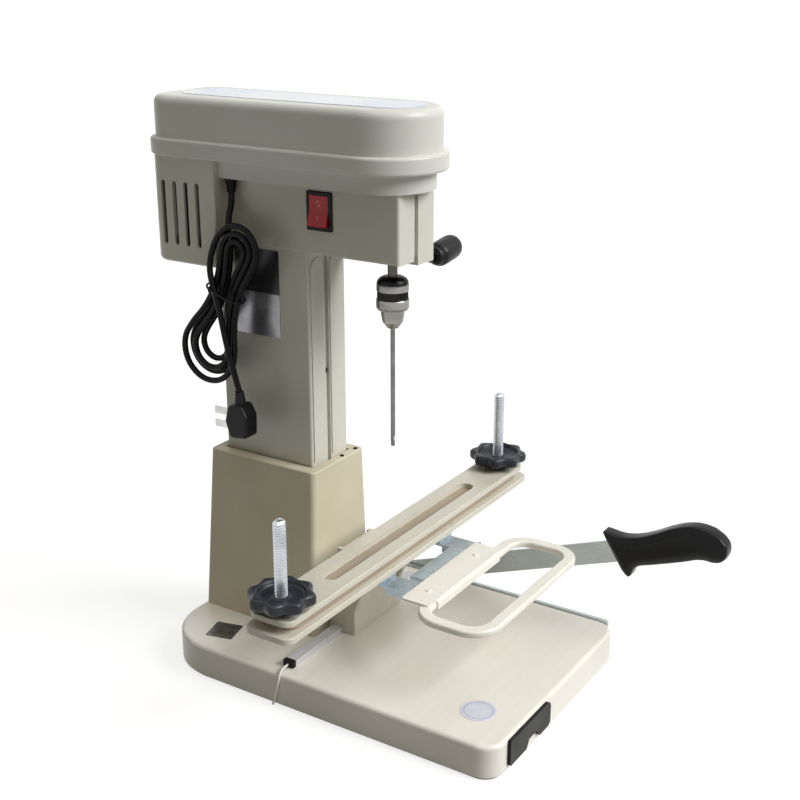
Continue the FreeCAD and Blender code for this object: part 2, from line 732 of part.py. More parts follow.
def make_guide_blocks():
    """Nylon blocks fixed in the column that slide on the post."""
    wide = COLUMN_HALF - SHELL_WALL
    rear = COLUMN_REAR - SHELL_WALL - STRIP_THICKNESS - 0.2
    gap = SLIDING_GAP
    way = block(-POST_HALF - gap, POST_HALF + gap, POST_FRONT - gap, POST_FRONT + POST_DEPTH + gap, 0, 900)
    rack = block(GEAR_LEFT - 1, GEAR_LEFT + GEAR_WIDTH + 1, guide_front - 20, POST_FRONT + 1, 0, 900)
    lower = block(-wide, wide, SPRING_Y - SPRING_RADIUS - 3, rear, COLUMN_BOTTOM, spring_low)
    upper = block(-wide, wide, guide_front, rear, UPPER_GUIDE_TOP - GUIDE_HEIGHT, UPPER_GUIDE_TOP)
    return Part.makeCompound([shape.cut(way).cut(rack) for shape in (lower, upper)])


def make_spindle_housing():
    wide = HEAD_HALF - SHELL_WALL - 3
    front = HEAD_FRONT + SHELL_WALL + STRIP_THICKNESS + 1
    depth = -front + 5
    plate = block(-wide, wide, front, depth, spindle_seat, spindle_seat + 4)
    x0 = GROOVE_LEFT - STRIP_LAP - 0.2
    x1 = GROOVE_RIGHT + STRIP_LAP + 0.2
    feet = [block(-wide, x0, front, depth, head_floor, spindle_seat),
            block(x1, wide, front, depth, head_floor, spindle_seat)]
    tube = rod(BEARING_HOUSING_RADIUS, V(0, 0, spindle_seat), V(0, 0, BEARING_HOUSING_TOP))
    body = fuse([plate, tube] + feet)
    bore = BEARING_RADIUS
    body = body.cut(rod(bore, V(0, 0, spindle_seat + 1.5), V(0, 0, spindle_seat + 1.5 + BEARING_WIDTH)))
    body = body.cut(rod(bore, V(0, 0, BEARING_HOUSING_TOP - BEARING_WIDTH), V(0, 0, BEARING_HOUSING_TOP + 1)))
    return body.cut(rod(bore - 3, V(0, 0, head_floor - 1), V(0, 0, BEARING_HOUSING_TOP)))


def make_spindle_bearings():
    rings = []
    for low in (spindle_seat + 1.5, BEARING_HOUSING_TOP - BEARING_WIDTH):
        ring = rod(BEARING_RADIUS, V(0, 0, low), V(0, 0, low + BEARING_WIDTH))
        rings.append(ring.cut(rod(SPINDLE_RADIUS + RUNNING_GAP, V(0, 0, low - 1),
                                  V(0, 0, low + BEARING_WIDTH + 1))))
    return Part.makeCompound(rings)


def plan_prism(inset, z0, z1, rear):
    """A plate with the head's plan: round in front, square-cornered with radii behind."""
    half = LIP_HALF - inset
    corner = max(LIP_REAR_CORNER - inset, 2.0)
    points = rectangle(-half, half, LIP_CENTRE_Y - half, rear)
    return prism_z(points, [half * 0.999, half * 0.999, corner, corner], z0, z1)


def make_head_tray():
    lip = plan_prism(0, LIP_BOTTOM, LIP_TOP, LIP_REAR)
    lip = soften(lip, LIP_EDGE, lambda b: level(b.ZMin, b.ZMax))
    wall = BELT_COVER_INSET + BELT_COVER_WALL
    lip = lip.cut(plan_prism(wall, tray_top, LIP_TOP + 1, LIP_REAR - wall))
    band_rear = HOUSING_FRONT - SOFT_GAP
    half = LIP_HALF - BAND_INSET
    inner = half - TRAY_WALL
    front = LIP_CENTRE_Y - half
    band = prism_z(rectangle(-half, half, front, band_rear), [half * 0.999, half * 0.999, 0, 0],
                   HEAD_TOP, LIP_BOTTOM + 1)
    hollow = prism_z(rectangle(-inner, inner, front + TRAY_WALL, band_rear + 1),
                     [inner * 0.999, inner * 0.999, 0, 0], HEAD_TOP - 1, LIP_BOTTOM)
    floor = block(-half, half, COLUMN_REAR - 60, band_rear, HEAD_TOP, HEAD_TOP + TRAY_WALL)
    floor = floor.cut(block(-HEAD_HALF + SHELL_WALL, HEAD_HALF - SHELL_WALL, 0, band_rear + 1,
                            HEAD_TOP - 1, HEAD_TOP + 4))
    tray = fuse([lip, band.cut(hollow), floor])
    tray = tray.cut(rod(2 * SPINDLE_RADIUS, V(0, 0, LIP_BOTTOM - 1), V(0, 0, tray_top + 1)))
    tray = tray.cut(rod(1.5 * MOTOR_SHAFT, V(0, MOTOR_Y, LIP_BOTTOM - 1), V(0, MOTOR_Y, tray_top + 1)))
    cord = rod(CORD_DIAMETER / 2 + 0.2, CORD_EXIT - V(0, 0, 1), CORD_EXIT + V(0, 0, TRAY_WALL + 1))
    return tray.cut(cord).removeSplitter()


def make_belt_cover():
    inset = BELT_COVER_INSET
    wall = BELT_COVER_WALL
    cover = plan_prism(inset, LIP_TOP, BELT_COVER_TOP, LIP_REAR - inset)
    cover = soften(cover, BELT_COVER_ROUND,
                   lambda b: level(b.ZMin, b.ZMax) and b.ZMin > BELT_COVER_TOP - 0.1)
    inner = plan_prism(inset + wall, LIP_TOP - 1, BELT_COVER_TOP - wall, LIP_REAR - inset - wall)
    inner = soften(inner, BELT_COVER_ROUND - wall,
                   lambda b: level(b.ZMin, b.ZMax) and b.ZMin > BELT_COVER_TOP - wall - 0.1)
    return cover.cut(inner)


def make_top_label():
    points = rectangle(-LABEL_HALF, LABEL_HALF, LABEL_FRONT, LABEL_REAR)
    return prism_z(points, [LABEL_HALF * 0.999] * 4, BELT_COVER_TOP, BELT_COVER_TOP + LABEL_THICKNESS)


def make_motor_housing():
    wall = HOUSING_WALL
    corner = HOUSING_CORNER
    points = rectangle(-HOUSING_HALF, HOUSING_HALF, HOUSING_FRONT, HOUSING_REAR)
    outer = prism_z(points, [2.0, 2.0, corner, corner], HOUSING_BOTTOM, LIP_BOTTOM)
    outer = soften(outer, HOUSING_EDGE, lambda b: level(b.ZMin, b.ZMax) and b.ZMax < HOUSING_BOTTOM + 0.1
                   and b.YMax > HOUSING_FRONT + 2.5)
    points = rectangle(-HOUSING_HALF + wall, HOUSING_HALF - wall, HOUSING_FRONT + wall, HOUSING_REAR - wall)
    inner = prism_z(points, [0, 0, corner - wall, corner - wall], HOUSING_BOTTOM + wall, LIP_BOTTOM + 1)
    shell = outer.cut(inner)
    gap = SOFT_GAP
    body = block(-HEAD_HALF - gap, HEAD_HALF + gap, HOUSING_FRONT - 1, COLUMN_REAR + gap,
                 HOUSING_BOTTOM - 1, LIP_BOTTOM + 1)
    shell = shell.cut(body)
    for index in range(SIDE_VENTS):
        y = VENT_FIRST_Y + index * VENT_PITCH
        shell = shell.cut(slots_x(-HOUSING_HALF - 1, HOUSING_HALF + 1, y, VENT_LOW, VENT_HIGH, VENT_WIDTH))
    for index in range(REAR_VENTS):
        x = (index - (REAR_VENTS - 1) / 2) * VENT_PITCH * 1.5
        shell = shell.cut(slots_y(HOUSING_REAR - wall - 1, HOUSING_REAR + 1, x, VENT_LOW, VENT_HIGH,
                                  VENT_WIDTH))
    return shell.removeSplitter()


def at_motor(z):
    """A point on the motor's axis."""
    return V(0, MOTOR_Y, z)


def make_motor_can():
    can = rod(MOTOR_RADIUS, at_motor(MOTOR_BOTTOM), at_motor(LIP_BOTTOM))
    low = MOTOR_BOTTOM + MOTOR_CAP
    high = LIP_BOTTOM - MOTOR_CAP
    can = can.cut(rod(STATOR_BORE, at_motor(low), at_motor(high)))
    return can.cut(rod(MOTOR_SHAFT + RUNNING_GAP, at_motor(MOTOR_BOTTOM - 1), at_motor(LIP_BOTTOM + 1)))


def make_motor_rotor():
    fan_top = MOTOR_BOTTOM - 1.0
    fan_low = HOUSING_BOTTOM + HOUSING_WALL + 1.0
    shaft = rod(MOTOR_SHAFT, at_motor(fan_low), at_motor(PULLEY_LOW + PULLEY_HEIGHT + 3))
    core = rod(ROTOR_RADIUS, at_motor(MOTOR_BOTTOM + MOTOR_CAP + 1), at_motor(LIP_BOTTOM - MOTOR_CAP - 1))
    disc = rod(FAN_RADIUS, at_motor(fan_top - 1.2), at_motor(fan_top))
    blades = []
    for index in range(8):
        blade = block(6.0, FAN_RADIUS - 0.5, -0.6, 0.6, fan_low, fan_top - 1.0)
        blade.rotate(V(0, 0, 0), V(0, 0, 1), index * 45.0)
        blades.append(blade.translated(V(0, MOTOR_Y, 0)))
    hub = rod(7.0, at_motor(fan_low), at_motor(fan_top))
    return fuse([shaft, core, disc, hub] + blades)


def pulley(radius, bore):
    """A pulley with a vee groove, turned about the drill's axis."""
    low = PULLEY_LOW
    high = low + PULLEY_HEIGHT
    middle = (low + high) / 2
    deep = radius - GROOVE_DEPTH
    slope = GROOVE_DEPTH * 0.35
    half = BELT_HEIGHT / 2 + BELT_GAP
    return turned([(bore, low), (radius, low), (radius, middle - half - slope), (deep, middle - half),
                   (deep, middle + half), (radius, middle + half + slope), (radius, high), (bore, high)])


def make_spindle_pulley():
    return pulley(SPINDLE_PULLEY_RADIUS, SPINDLE_RADIUS)


def make_motor_pulley():
    return pulley(MOTOR_PULLEY_RADIUS, MOTOR_SHAFT).translated(V(0, MOTOR_Y, 0))


def belt_face(big, small, z):
    """The area inside a loop round both pulleys."""
    lean = math.asin((big - small) / MOTOR_Y)
    across = math.cos(lean)
    along = math.sin(lean)
    b0, b1 = V(big * across, big * along, z), V(-big * across, big * along, z)
    s0 = V(small * across, MOTOR_Y + small * along, z)
    s1 = V(-small * across, MOTOR_Y + small * along, z)
    edges = [Part.LineSegment(b0, s0).toShape(),
             Part.Arc(s0, V(0, MOTOR_Y + small, z), s1).toShape(),
             Part.LineSegment(s1, b1).toShape(),
             Part.Arc(b1, V(0, -big, z), b0).toShape()]
    return Part.Face(Part.Wire(edges))


def make_drive_belt():
    z = PULLEY_LOW + PULLEY_HEIGHT / 2 - BELT_HEIGHT / 2
    big = SPINDLE_PULLEY_RADIUS - GROOVE_DEPTH + BELT_GAP
    small = MOTOR_PULLEY_RADIUS - GROOVE_DEPTH + BELT_GAP
    up = V(0, 0, BELT_HEIGHT)
    outer = belt_face(big + BELT_THICKNESS, small + BELT_THICKNESS, z).extrude(up)
    return outer.cut(belt_face(big, small, z).extrude(up))


def make_spindle():
    shaft = rod(SPINDLE_RADIUS, V(0, 0, CHUCK_TOP), V(0, 0, SPINDLE_TOP))
    low = spindle_seat + 1.5 + BEARING_WIDTH + 0.3
    collar = rod(SPINDLE_RADIUS + 2, V(0, 0, low), V(0, 0, low + 2))
    return fuse([shaft, collar])


def make_chuck_body():
    r = CHUCK_RADIUS
    inner = r - CHUCK_BAND_DEPTH
    body = turned([(0, CHUCK_TOP), (5.5, CHUCK_TOP), (r - 1.6, CHUCK_TOP - CHUCK_SHOULDER + 2.2),
                   (r, CHUCK_TOP - CHUCK_SHOULDER), (r, CHUCK_BAND_TOP), (inner, CHUCK_BAND_TOP),
                   (inner, CHUCK_BAND_BOTTOM), (r, CHUCK_BAND_BOTTOM), (r, CHUCK_NOSE_TOP + 1.6),
                   (r - 1.6, CHUCK_NOSE_TOP), (0, CHUCK_NOSE_TOP)])
    return body.cut(rod(BIT_RADIUS, V(0, 0, CHUCK_NOSE_TOP - 1), V(0, 0, CHUCK_NOSE_TOP + 8)))


def make_chuck_nose():
    r = CHUCK_NOSE_RADIUS
    low = CHUCK_NOSE_BOTTOM
    nose = turned([(0, CHUCK_NOSE_TOP), (r, CHUCK_NOSE_TOP), (r, CHUCK_NOSE_TOP - 4),
                   (r - 1.2, low + 5), (CHUCK_NOSE_TIP, low), (0, low)])
    key = rod(KEY_HOLE_RADIUS, V(0, 0, low + 9), V(20, 0, low + 9))
    key.rotate(V(0, 0, 0), V(0, 0, 1), -35.0)
    nose = nose.cut(key).cut(rod(BIT_RADIUS, V(0, 0, low - 1), V(0, 0, CHUCK_NOSE_TOP + 1)))
    for index in range(3):
        gap = block(BIT_RADIUS, CHUCK_NOSE_TIP + 1, -0.35, 0.35, low - 1, low + 2.5)
        gap.rotate(V(0, 0, 0), V(0, 0, 1), 25.0 + 120.0 * index)
        nose = nose.cut(gap)
    return nose


def make_drill_bit():
    shank = rod(BIT_RADIUS, V(0, 0, BIT_TIP + BIT_POINT), V(0, 0, CHUCK_NOSE_TOP + 8))
    point = cone(0.15, BIT_RADIUS, V(0, 0, BIT_TIP), V(0, 0, BIT_TIP + BIT_POINT))
    return fuse([shank, point])


def make_feed_lever():
    hub_x = HEAD_HALF + 0.4
    hub = rod(LEVER_HUB_RADIUS, V(hub_x, lever_y, LEVER_Z), V(hub_x + LEVER_HUB_WIDTH, lever_y, LEVER_Z))
    hub = soften(hub, 1.5, lambda b: level(b.XMin, b.XMax) and b.XMin > hub_x + 1)
    start = V(hub_x + LEVER_HUB_WIDTH / 2, lever_y, LEVER_Z)
    arm = rod(LEVER_ARM_RADIUS, start, LEVER_END)
    joint = Part.makeSphere(LEVER_ARM_RADIUS + 0.8, LEVER_END)
    body = fuse([hub, arm, joint])
    body = body.cut(rod(LEVER_SHAFT, V(hub_x - 1, lever_y, LEVER_Z), V(hub_x + 1, lever_y, LEVER_Z)))
    return body.cut(grip_solid())


def grip_frame(shape):
    """Turns a grip built along X at the origin to its place on the lever's end."""
    shape.rotate(V(0, 0, 0), V(0, 1, 0), -GRIP_RISE)
    return shape.translated(LEVER_END)


def grip_solid():
    """Pear-shaped grip, built along X and then tilted."""
    start = 3.2
    points = [V(start, GRIP_NECK * 0.9, 0), V(start + 6, GRIP_NECK, 0), V(start + 14, GRIP_NECK + 2.6, 0),
              V(start + 24, GRIP_RADIUS, 0), V(GRIP_LENGTH + start - 3.4, GRIP_RADIUS * 0.78, 0),
              V(GRIP_LENGTH + start, 0.4, 0)]
    curve = Part.BSplineCurve()
    curve.interpolate(points)
    end = V(GRIP_LENGTH + start, 0, 0)
    edges = [curve.toShape(), Part.LineSegment(points[-1], end).toShape(),
             Part.LineSegment(end, V(start, 0, 0)).toShape(),
             Part.LineSegment(V(start, 0, 0), points[0]).toShape()]
    solid = Part.Face(Part.Wire(edges)).revolve(V(0, 0, 0), V(1, 0, 0), 360)
    return grip_frame(solid)


def make_lever_grip():
    return grip_solid()


def make_switch_bezel():
    x0 = -HEAD_HALF - BEZEL_PROUD
    y0, y1 = SWITCH_Y - BEZEL_WIDTH / 2, SWITCH_Y + BEZEL_WIDTH / 2
    z0, z1 = SWITCH_Z - BEZEL_HEIGHT / 2, SWITCH_Z + BEZEL_HEIGHT / 2
    rim = prism_x(rectangle(y0, y1, z0, z1), [1.5] * 4, x0, -HEAD_HALF)
    rim = soften(rim, 0.8, lambda b: level(b.XMin, b.XMax) and b.XMin < x0 + 0.01)
    body = block(-HEAD_HALF, -HEAD_HALF + SWITCH_BODY_DEPTH, y0 + 1.7, y1 - 1.7, z0 + 1.7, z1 - 1.7)
    whole = fuse([rim, body])
    half = ROCKER_WIDTH / 2 + SOFT_GAP
    pivot_x = -HEAD_HALF - BEZEL_PROUD / 2
    well = rod(ROCKER_RADIUS + SOFT_GAP, V(pivot_x, SWITCH_Y - half, SWITCH_Z),
               V(pivot_x, SWITCH_Y + half, SWITCH_Z))
    return whole.cut(well)


def make_switch_rocker():
    """A round-backed paddle with two slopes that meet at its middle, its lower half standing out."""
    pivot_x = -HEAD_HALF - BEZEL_PROUD / 2
    half = ROCKER_WIDTH / 2
    r = ROCKER_RADIUS
    back = rod(r, V(pivot_x, SWITCH_Y - half, SWITCH_Z), V(pivot_x, SWITCH_Y + half, SWITCH_Z))
    face = prism_y([(pivot_x - ROCKER_LIFT, SWITCH_Z - r - 1), (pivot_x + r + 1, SWITCH_Z - r - 1),
                    (pivot_x + r + 1, SWITCH_Z + r + 1), (pivot_x - ROCKER_LIFT, SWITCH_Z + r + 1),
                    (pivot_x - ROCKER_LIFT * 0.35, SWITCH_Z)], [0, 0, 0, 0, 2.0],
                   SWITCH_Y - half - 1, SWITCH_Y + half + 1)
    rocker = back.common(face)
    rocker = rocker.cut(rod(r - 5, V(pivot_x + r, SWITCH_Y - half - 1, SWITCH_Z),
                            V(pivot_x + r, SWITCH_Y + half + 1, SWITCH_Z)))
    rocker.rotate(V(pivot_x, SWITCH_Y, SWITCH_Z), V(0, 1, 0), ROCKER_TILT)
    return rocker


def make_rating_plate():
    x1 = -COLUMN_HALF
    points = rectangle(PLATE_Y, PLATE_Y + PLATE_WIDTH, PLATE_LOW, PLATE_LOW + PLATE_HEIGHT)
    return prism_x(points, [1.5] * 4, x1 - PLATE_THICKNESS, x1)


def make_base_labels():
    half = SQUARE_STICKER_SIZE / 2
    top = BASE_TOP + STICKER_THICKNESS
    square = prism_z(rectangle(-half, half, -half, half), [1.0] * 4, BASE_TOP, top)
    square.rotate(V(0, 0, 0), V(0, 0, 1), SQUARE_STICKER_TURN)
    round_one = rod(ROUND_STICKER_RADIUS, V(0, 0, BASE_TOP), V(0, 0, top))
    return Part.makeCompound([square.translated(SQUARE_STICKER), round_one.translated(ROUND_STICKER)])


def rail_box(gap, left, right):
    """The rail's space, grown by gap on its sides and top."""
    half = RAIL_WIDTH / 2 + gap
    return block(left, right, RAIL_Y - half, RAIL_Y + half, BASE_TOP, BASE_TOP + RAIL_HEIGHT + gap)


def make_slide_rail():
    return rail_box(0, RAIL_LEFT, RAIL_RIGHT)


def make_rail_end_plug():
    half = RAIL_WIDTH / 2
    plug = block(RAIL_LEFT - RAIL_PLUG, RAIL_LEFT, RAIL_Y - half, RAIL_Y + half, BASE_TOP,
                 BASE_TOP + RAIL_HEIGHT + 0.5)
    plug = soften(plug, 0.8, lambda b: b.XMax < RAIL_LEFT - 0.1)
    hole = rod(THREAD_DIAMETER / 2, V(RAIL_LEFT - RAIL_PLUG - 1, RAIL_Y, BASE_TOP + RAIL_HEIGHT / 2),
               V(RAIL_LEFT - RAIL_PLUG + 2, RAIL_Y, BASE_TOP + RAIL_HEIGHT / 2))
    return plug.cut(hole)


def make_saddle():
    low = BASE_TOP + SOFT_GAP
    top = BASE_TOP + SADDLE_BLOCK
    half = RAIL_WIDTH / 2 + SADDLE_SIDE
    rider = block(SADDLE_LEFT, SADDLE_RIGHT, WEB_FRONT, RAIL_Y + half, low, top)
    rider = rider.cut(rail_box(SLIDING_GAP, SADDLE_LEFT - 1, SADDLE_RIGHT + 1))
    web = block(SADDLE_LEFT, SADDLE_RIGHT, WEB_FRONT, WEB_FRONT + WEB_THICKNESS, top - 1, LOWER_BAR_BOTTOM)
    flange = block(SADDLE_LEFT, SADDLE_RIGHT, FLANGE_FRONT, WEB_FRONT + WEB_THICKNESS,
                   LOWER_BAR_BOTTOM - FLANGE_THICKNESS, LOWER_BAR_BOTTOM)
    ribs = []
    for x in (SADDLE_LEFT, SADDLE_RIGHT - FLANGE_THICKNESS):
        points = [(WEB_FRONT + 1, top + 8), (WEB_FRONT + 1, LOWER_BAR_BOTTOM - 1),
                  (FLANGE_FRONT + 4, LOWER_BAR_BOTTOM - 1), (FLANGE_FRONT + 4, LOWER_BAR_BOTTOM - 9)]
        ribs.append(prism_x(points, [0] * 4, x, x + FLANGE_THICKNESS))
        points = [(WEB_FRONT + 7, top - 1), (RAIL_Y + half, top - 1), (WEB_FRONT + 7, LOWER_BAR_BOTTOM - 12)]
        ribs.append(prism_x(points, [0] * 3, x, x + FLANGE_THICKNESS))
    return fuse([rider, web, flange] + ribs)


def bar_prism(overhang, half_width, z0, z1):
    """A clamp bar: a long plate with cut corners, past both studs."""
    x0 = clamp_left - overhang
    x1 = clamp_right + overhang
    points = rectangle(x0, x1, -half_width, half_width)
    bar = prism_z(points, [BAR_NOSE] * 4, z0, z1)
    return bar


def stud_holes(gap):
    """Holes for both studs, with the given clearance."""
    return [rod(STUD_RADIUS + gap, V(x, 0, LOWER_BAR_BOTTOM - 20), V(x, 0, STUD_TOP + 20))
            for x in (clamp_left, clamp_right)]


def make_lower_bar():
    bar = bar_prism(LOWER_BAR_OVERHANG, LOWER_BAR_HALF_WIDTH, LOWER_BAR_BOTTOM, lower_bar_top)
    bar = soften(bar, BAR_EDGE, lambda b: level(b.ZMin, b.ZMax))
    for hole in stud_holes(0):
        bar = bar.cut(hole)
    return bar


def make_clamp_bed():
    bed = bar_prism(BED_OVERHANG, BED_HALF_WIDTH, lower_bar_top, bed_top)
    for hole in stud_holes(RUNNING_GAP):
        bed = bed.cut(hole)
    return bed


def make_upper_bar():
    bar = bar_prism(UPPER_BAR_OVERHANG, UPPER_BAR_HALF_WIDTH, bed_top + 0.05, upper_bar_top)
    bar = soften(bar, BAR_EDGE, lambda b: level(b.ZMin, b.ZMax) and b.ZMin > upper_bar_top - 0.1)
    half = SLOT_HALF_WIDTH
    slot = prism_z(rectangle(SLOT_LEFT, SLOT_RIGHT, -half, half), [half * 0.999] * 4,
                   bed_top - 1, upper_bar_top + 1)
    bar = bar.cut(slot)
    for hole in stud_holes(0.4):
        bar = bar.cut(hole)
    return bar


def make_clamp_studs():
    studs = []
    for x in (clamp_left, clamp_right):
        low = LOWER_BAR_BOTTOM
        stud = rod(STUD_RADIUS, V(x, 0, low), V(x, 0, STUD_TOP - 1.2))
        top = cone(STUD_RADIUS, STUD_RADIUS - 1.2, V(x, 0, STUD_TOP - 1.2), V(x, 0, STUD_TOP))
        head = rod(STUD_RADIUS + 3.5, V(x, 0, low - 5.0), V(x, 0, low))
        studs.append(fuse([stud, top, head]))
    return Part.makeCompound(studs)


def make_back_gauge():
    y = LOWER_BAR_HALF_WIDTH
    plate = block(GAUGE_LEFT, GAUGE_RIGHT, y, y + GAUGE_THICKNESS, LOWER_BAR_BOTTOM, lower_bar_top + GAUGE_RISE)
    for x in (GAUGE_LEFT, GAUGE_RIGHT - 4):
        plate = plate.fuse(block(x, x + 4, y, y + GAUGE_THICKNESS + 3, lower_bar_top + GAUGE_RISE - 6,
                                 lower_bar_top + GAUGE_RISE))
    return plate.removeSplitter()


def knob_at(x):
    """A lobed knob with a dished top, seated on the upper bar."""
    low = upper_bar_top + 0.05
    rim_low = low + KNOB_HUB_HEIGHT
    high = low + KNOB_HEIGHT
    hub = rod(KNOB_HUB_RADIUS, V(0, 0, low), V(0, 0, rim_low + 1))
    star = rod(KNOB_RADIUS, V(0, 0, rim_low), V(0, 0, high))
    ring = KNOB_RADIUS + KNOB_SCALLOP * 0.42
    for index in range(KNOB_LOBES):
        angle = 2 * math.pi * index / KNOB_LOBES
        star = star.cut(rod(KNOB_SCALLOP, V(ring * math.cos(angle), ring * math.sin(angle), rim_low - 1),
                            V(ring * math.cos(angle), ring * math.sin(angle), high + 1)))
    star = soften(star, 1.6, lambda b: level(b.ZMin, b.ZMax))
    dish = rod(KNOB_DISH_RADIUS, V(0, 0, high - KNOB_DISH), V(0, 0, high + 1))
    boss = rod(KNOB_BOSS_RADIUS, V(0, 0, high - KNOB_DISH - 1), V(0, 0, high - 1))
    knob = fuse([star.cut(dish), hub, boss])
    knob = knob.cut(rod(STUD_RADIUS + RUNNING_GAP, V(0, 0, low - 1), V(0, 0, high + 1)))
    return knob.translated(V(x, 0, 0))


def make_left_knob():
    return knob_at(clamp_left)


def make_right_knob():
    return knob_at(clamp_right)


def leaf_places():
    """Left edge of each hinge leaf."""
    return [LEAF_LEFT, LEAF_LEFT + LEAF_SPACING]


def make_hinge_fixed_leaves():
    """Leaves under the lower bar, each with the middle third of its knuckle and the pin."""
    leaves = []
    for x in leaf_places():
        third = LEAF_WIDTH / 3
        plate = block(x, x + LEAF_WIDTH, HINGE_Y + 5, FLANGE_FRONT - SOFT_GAP, LOWER_BAR_BOTTOM - LEAF_THICKNESS,
                      LOWER_BAR_BOTTOM)
        knuckle = rod(KNUCKLE_RADIUS, V(x + third, HINGE_Y, HINGE_Z), V(x + 2 * third, HINGE_Y, HINGE_Z))
        tab = prism_x([(HINGE_Y, HINGE_Z + KNUCKLE_RADIUS), (HINGE_Y, HINGE_Z + 1),
                       (HINGE_Y + 5.5, LOWER_BAR_BOTTOM - LEAF_THICKNESS - 3),
                       (HINGE_Y + 5.5, LOWER_BAR_BOTTOM)], [0] * 4, x + third, x + 2 * third)
        pin = rod(HINGE_PIN, V(x - 0.6, HINGE_Y, HINGE_Z), V(x + LEAF_WIDTH + 0.6, HINGE_Y, HINGE_Z))
        leaves.append(fuse([plate, tab, knuckle, pin]))
    return Part.makeCompound(leaves)


def make_hinge_moving_leaves():
    """Plated leaves with the outer thirds of the knuckles and side flanges, and the strip between."""
    pieces = []
    low = HINGE_Z - KNUCKLE_RADIUS
    for x in leaf_places():
        third = LEAF_WIDTH / 3
        plate = block(x, x + LEAF_WIDTH, LEAF_FRONT, HINGE_Y, low, leaf_top)
        flange = block(x, x + LEAF_THICKNESS, LEAF_FRONT, HINGE_Y - 6, low - LEAF_FLANGE + LEAF_THICKNESS,
                       leaf_top)
        ends = [rod(KNUCKLE_RADIUS, V(x0, HINGE_Y, HINGE_Z), V(x0 + third - 0.15, HINGE_Y, HINGE_Z))
                for x0 in (x, x + 2 * third + 0.15)]
        leaf = fuse([plate, flange] + ends)
        clear = rod(KNUCKLE_RADIUS + 0.3, V(x + third - 0.15, HINGE_Y, HINGE_Z),
                    V(x + 2 * third + 0.15, HINGE_Y, HINGE_Z))
        bore = rod(HINGE_PIN + RUNNING_GAP, V(x - 1, HINGE_Y, HINGE_Z),
                   V(x + LEAF_WIDTH + 1, HINGE_Y, HINGE_Z))
        pieces.append(leaf.cut(clear).cut(bore))
    strip_low = leaf_top
    strip = block(LEAF_LEFT + 2, CENTRE_STRIP_RIGHT + 22, CENTRE_STRIP_FRONT, CENTRE_STRIP_FRONT + 2,
                  strip_low, strip_low + LEAF_THICKNESS)
    body = block(CENTRE_STRIP_LEFT, CENTRE_STRIP_RIGHT, CENTRE_STRIP_FRONT, CENTRE_STRIP_REAR, strip_low,
                 strip_low + LEAF_THICKNESS)
    fold = block(CENTRE_STRIP_LEFT - LEAF_THICKNESS, CENTRE_STRIP_LEFT, CENTRE_STRIP_FRONT,
                 CENTRE_STRIP_REAR, strip_low - 4, strip_low + LEAF_THICKNESS)
    return Part.makeCompound([fuse([pieces[0], pieces[1], strip, body, fold])])


def make_handle_plate():
    """Painted plate over the leaves, with a lip folded down in front and two rivets."""
    low = leaf_top + LEAF_THICKNESS
    high = low + HANDLE_PLATE_THICKNESS
    points = rectangle(HANDLE_PLATE_LEFT, HANDLE_PLATE_RIGHT, HANDLE_PLATE_FRONT, HANDLE_PLATE_REAR)
    plate = prism_z(points, [3.0] * 4, low, high)
    lip = prism_x([(HANDLE_PLATE_FRONT, high), (HANDLE_PLATE_FRONT - 2.2, high - 2.5),
                   (HANDLE_PLATE_FRONT - 2.2, high - HANDLE_LIP), (HANDLE_PLATE_FRONT + 0.2, high - HANDLE_LIP),
                   (HANDLE_PLATE_FRONT + 0.2, low), (HANDLE_PLATE_FRONT + 3.0, low),
                   (HANDLE_PLATE_FRONT + 3.0, high)], [2.0, 1.5, 0, 0, 0, 0, 0],
                  HANDLE_PLATE_LEFT + 12, HANDLE_PLATE_RIGHT - 6)
    rivets = []
    y = (HANDLE_PLATE_FRONT + HANDLE_PLATE_REAR) / 2
    for x in (HANDLE_PLATE_LEFT + 22, HANDLE_PLATE_RIGHT - 22):
        rivets.append(cone(RIVET_RADIUS, RIVET_RADIUS - 1.2, V(x, y, high - 0.2), V(x, y, high + 1.0)))
    return fuse([plate, lip] + rivets)


def make_loop_handle():
    """Flat bar bent into a rounded loop, fixed under the plate's front."""
    high = leaf_top + LEAF_THICKNESS
    low = high - LOOP_THICKNESS
    bar = LOOP_BAR
    outer = prism_z(rectangle(LOOP_LEFT, LOOP_RIGHT, LOOP_FRONT, LOOP_REAR), [LOOP_CORNER] * 4, low, high)
    inner = prism_z(rectangle(LOOP_LEFT + bar, LOOP_RIGHT - bar, LOOP_FRONT + bar, LOOP_REAR - bar),
                    [LOOP_CORNER - bar] * 4, low - 1, high + 1)
    loop = outer.cut(inner)
    loop = soften(loop, 2.0, lambda b: level(b.ZMin, b.ZMax))
    return loop.cut(make_handle_plate()).removeSplitter()


def make_fixed_blade():
    points = rectangle(FIXED_BLADE_FRONT, FIXED_BLADE_REAR, FIXED_BLADE_LOW, FIXED_BLADE_HIGH)
    blade = prism_x(points, [3.0, 3.0, 2.0, 2.0], base_right, base_right + FIXED_BLADE_THICKNESS)
    hole = rod(KNIFE_BOLT + RUNNING_GAP, V(base_right - 1, KNIFE_PIVOT_Y, KNIFE_PIVOT_Z),
               V(base_right + 5, KNIFE_PIVOT_Y, KNIFE_PIVOT_Z))
    return blade.cut(hole)


def knife_turn(shape):
    """Turns a shape built with the blade lying level to the angle that it stands at."""
    shape.rotate(V(0, KNIFE_PIVOT_Y, KNIFE_PIVOT_Z), V(1, 0, 0), -KNIFE_ANGLE)
    return shape


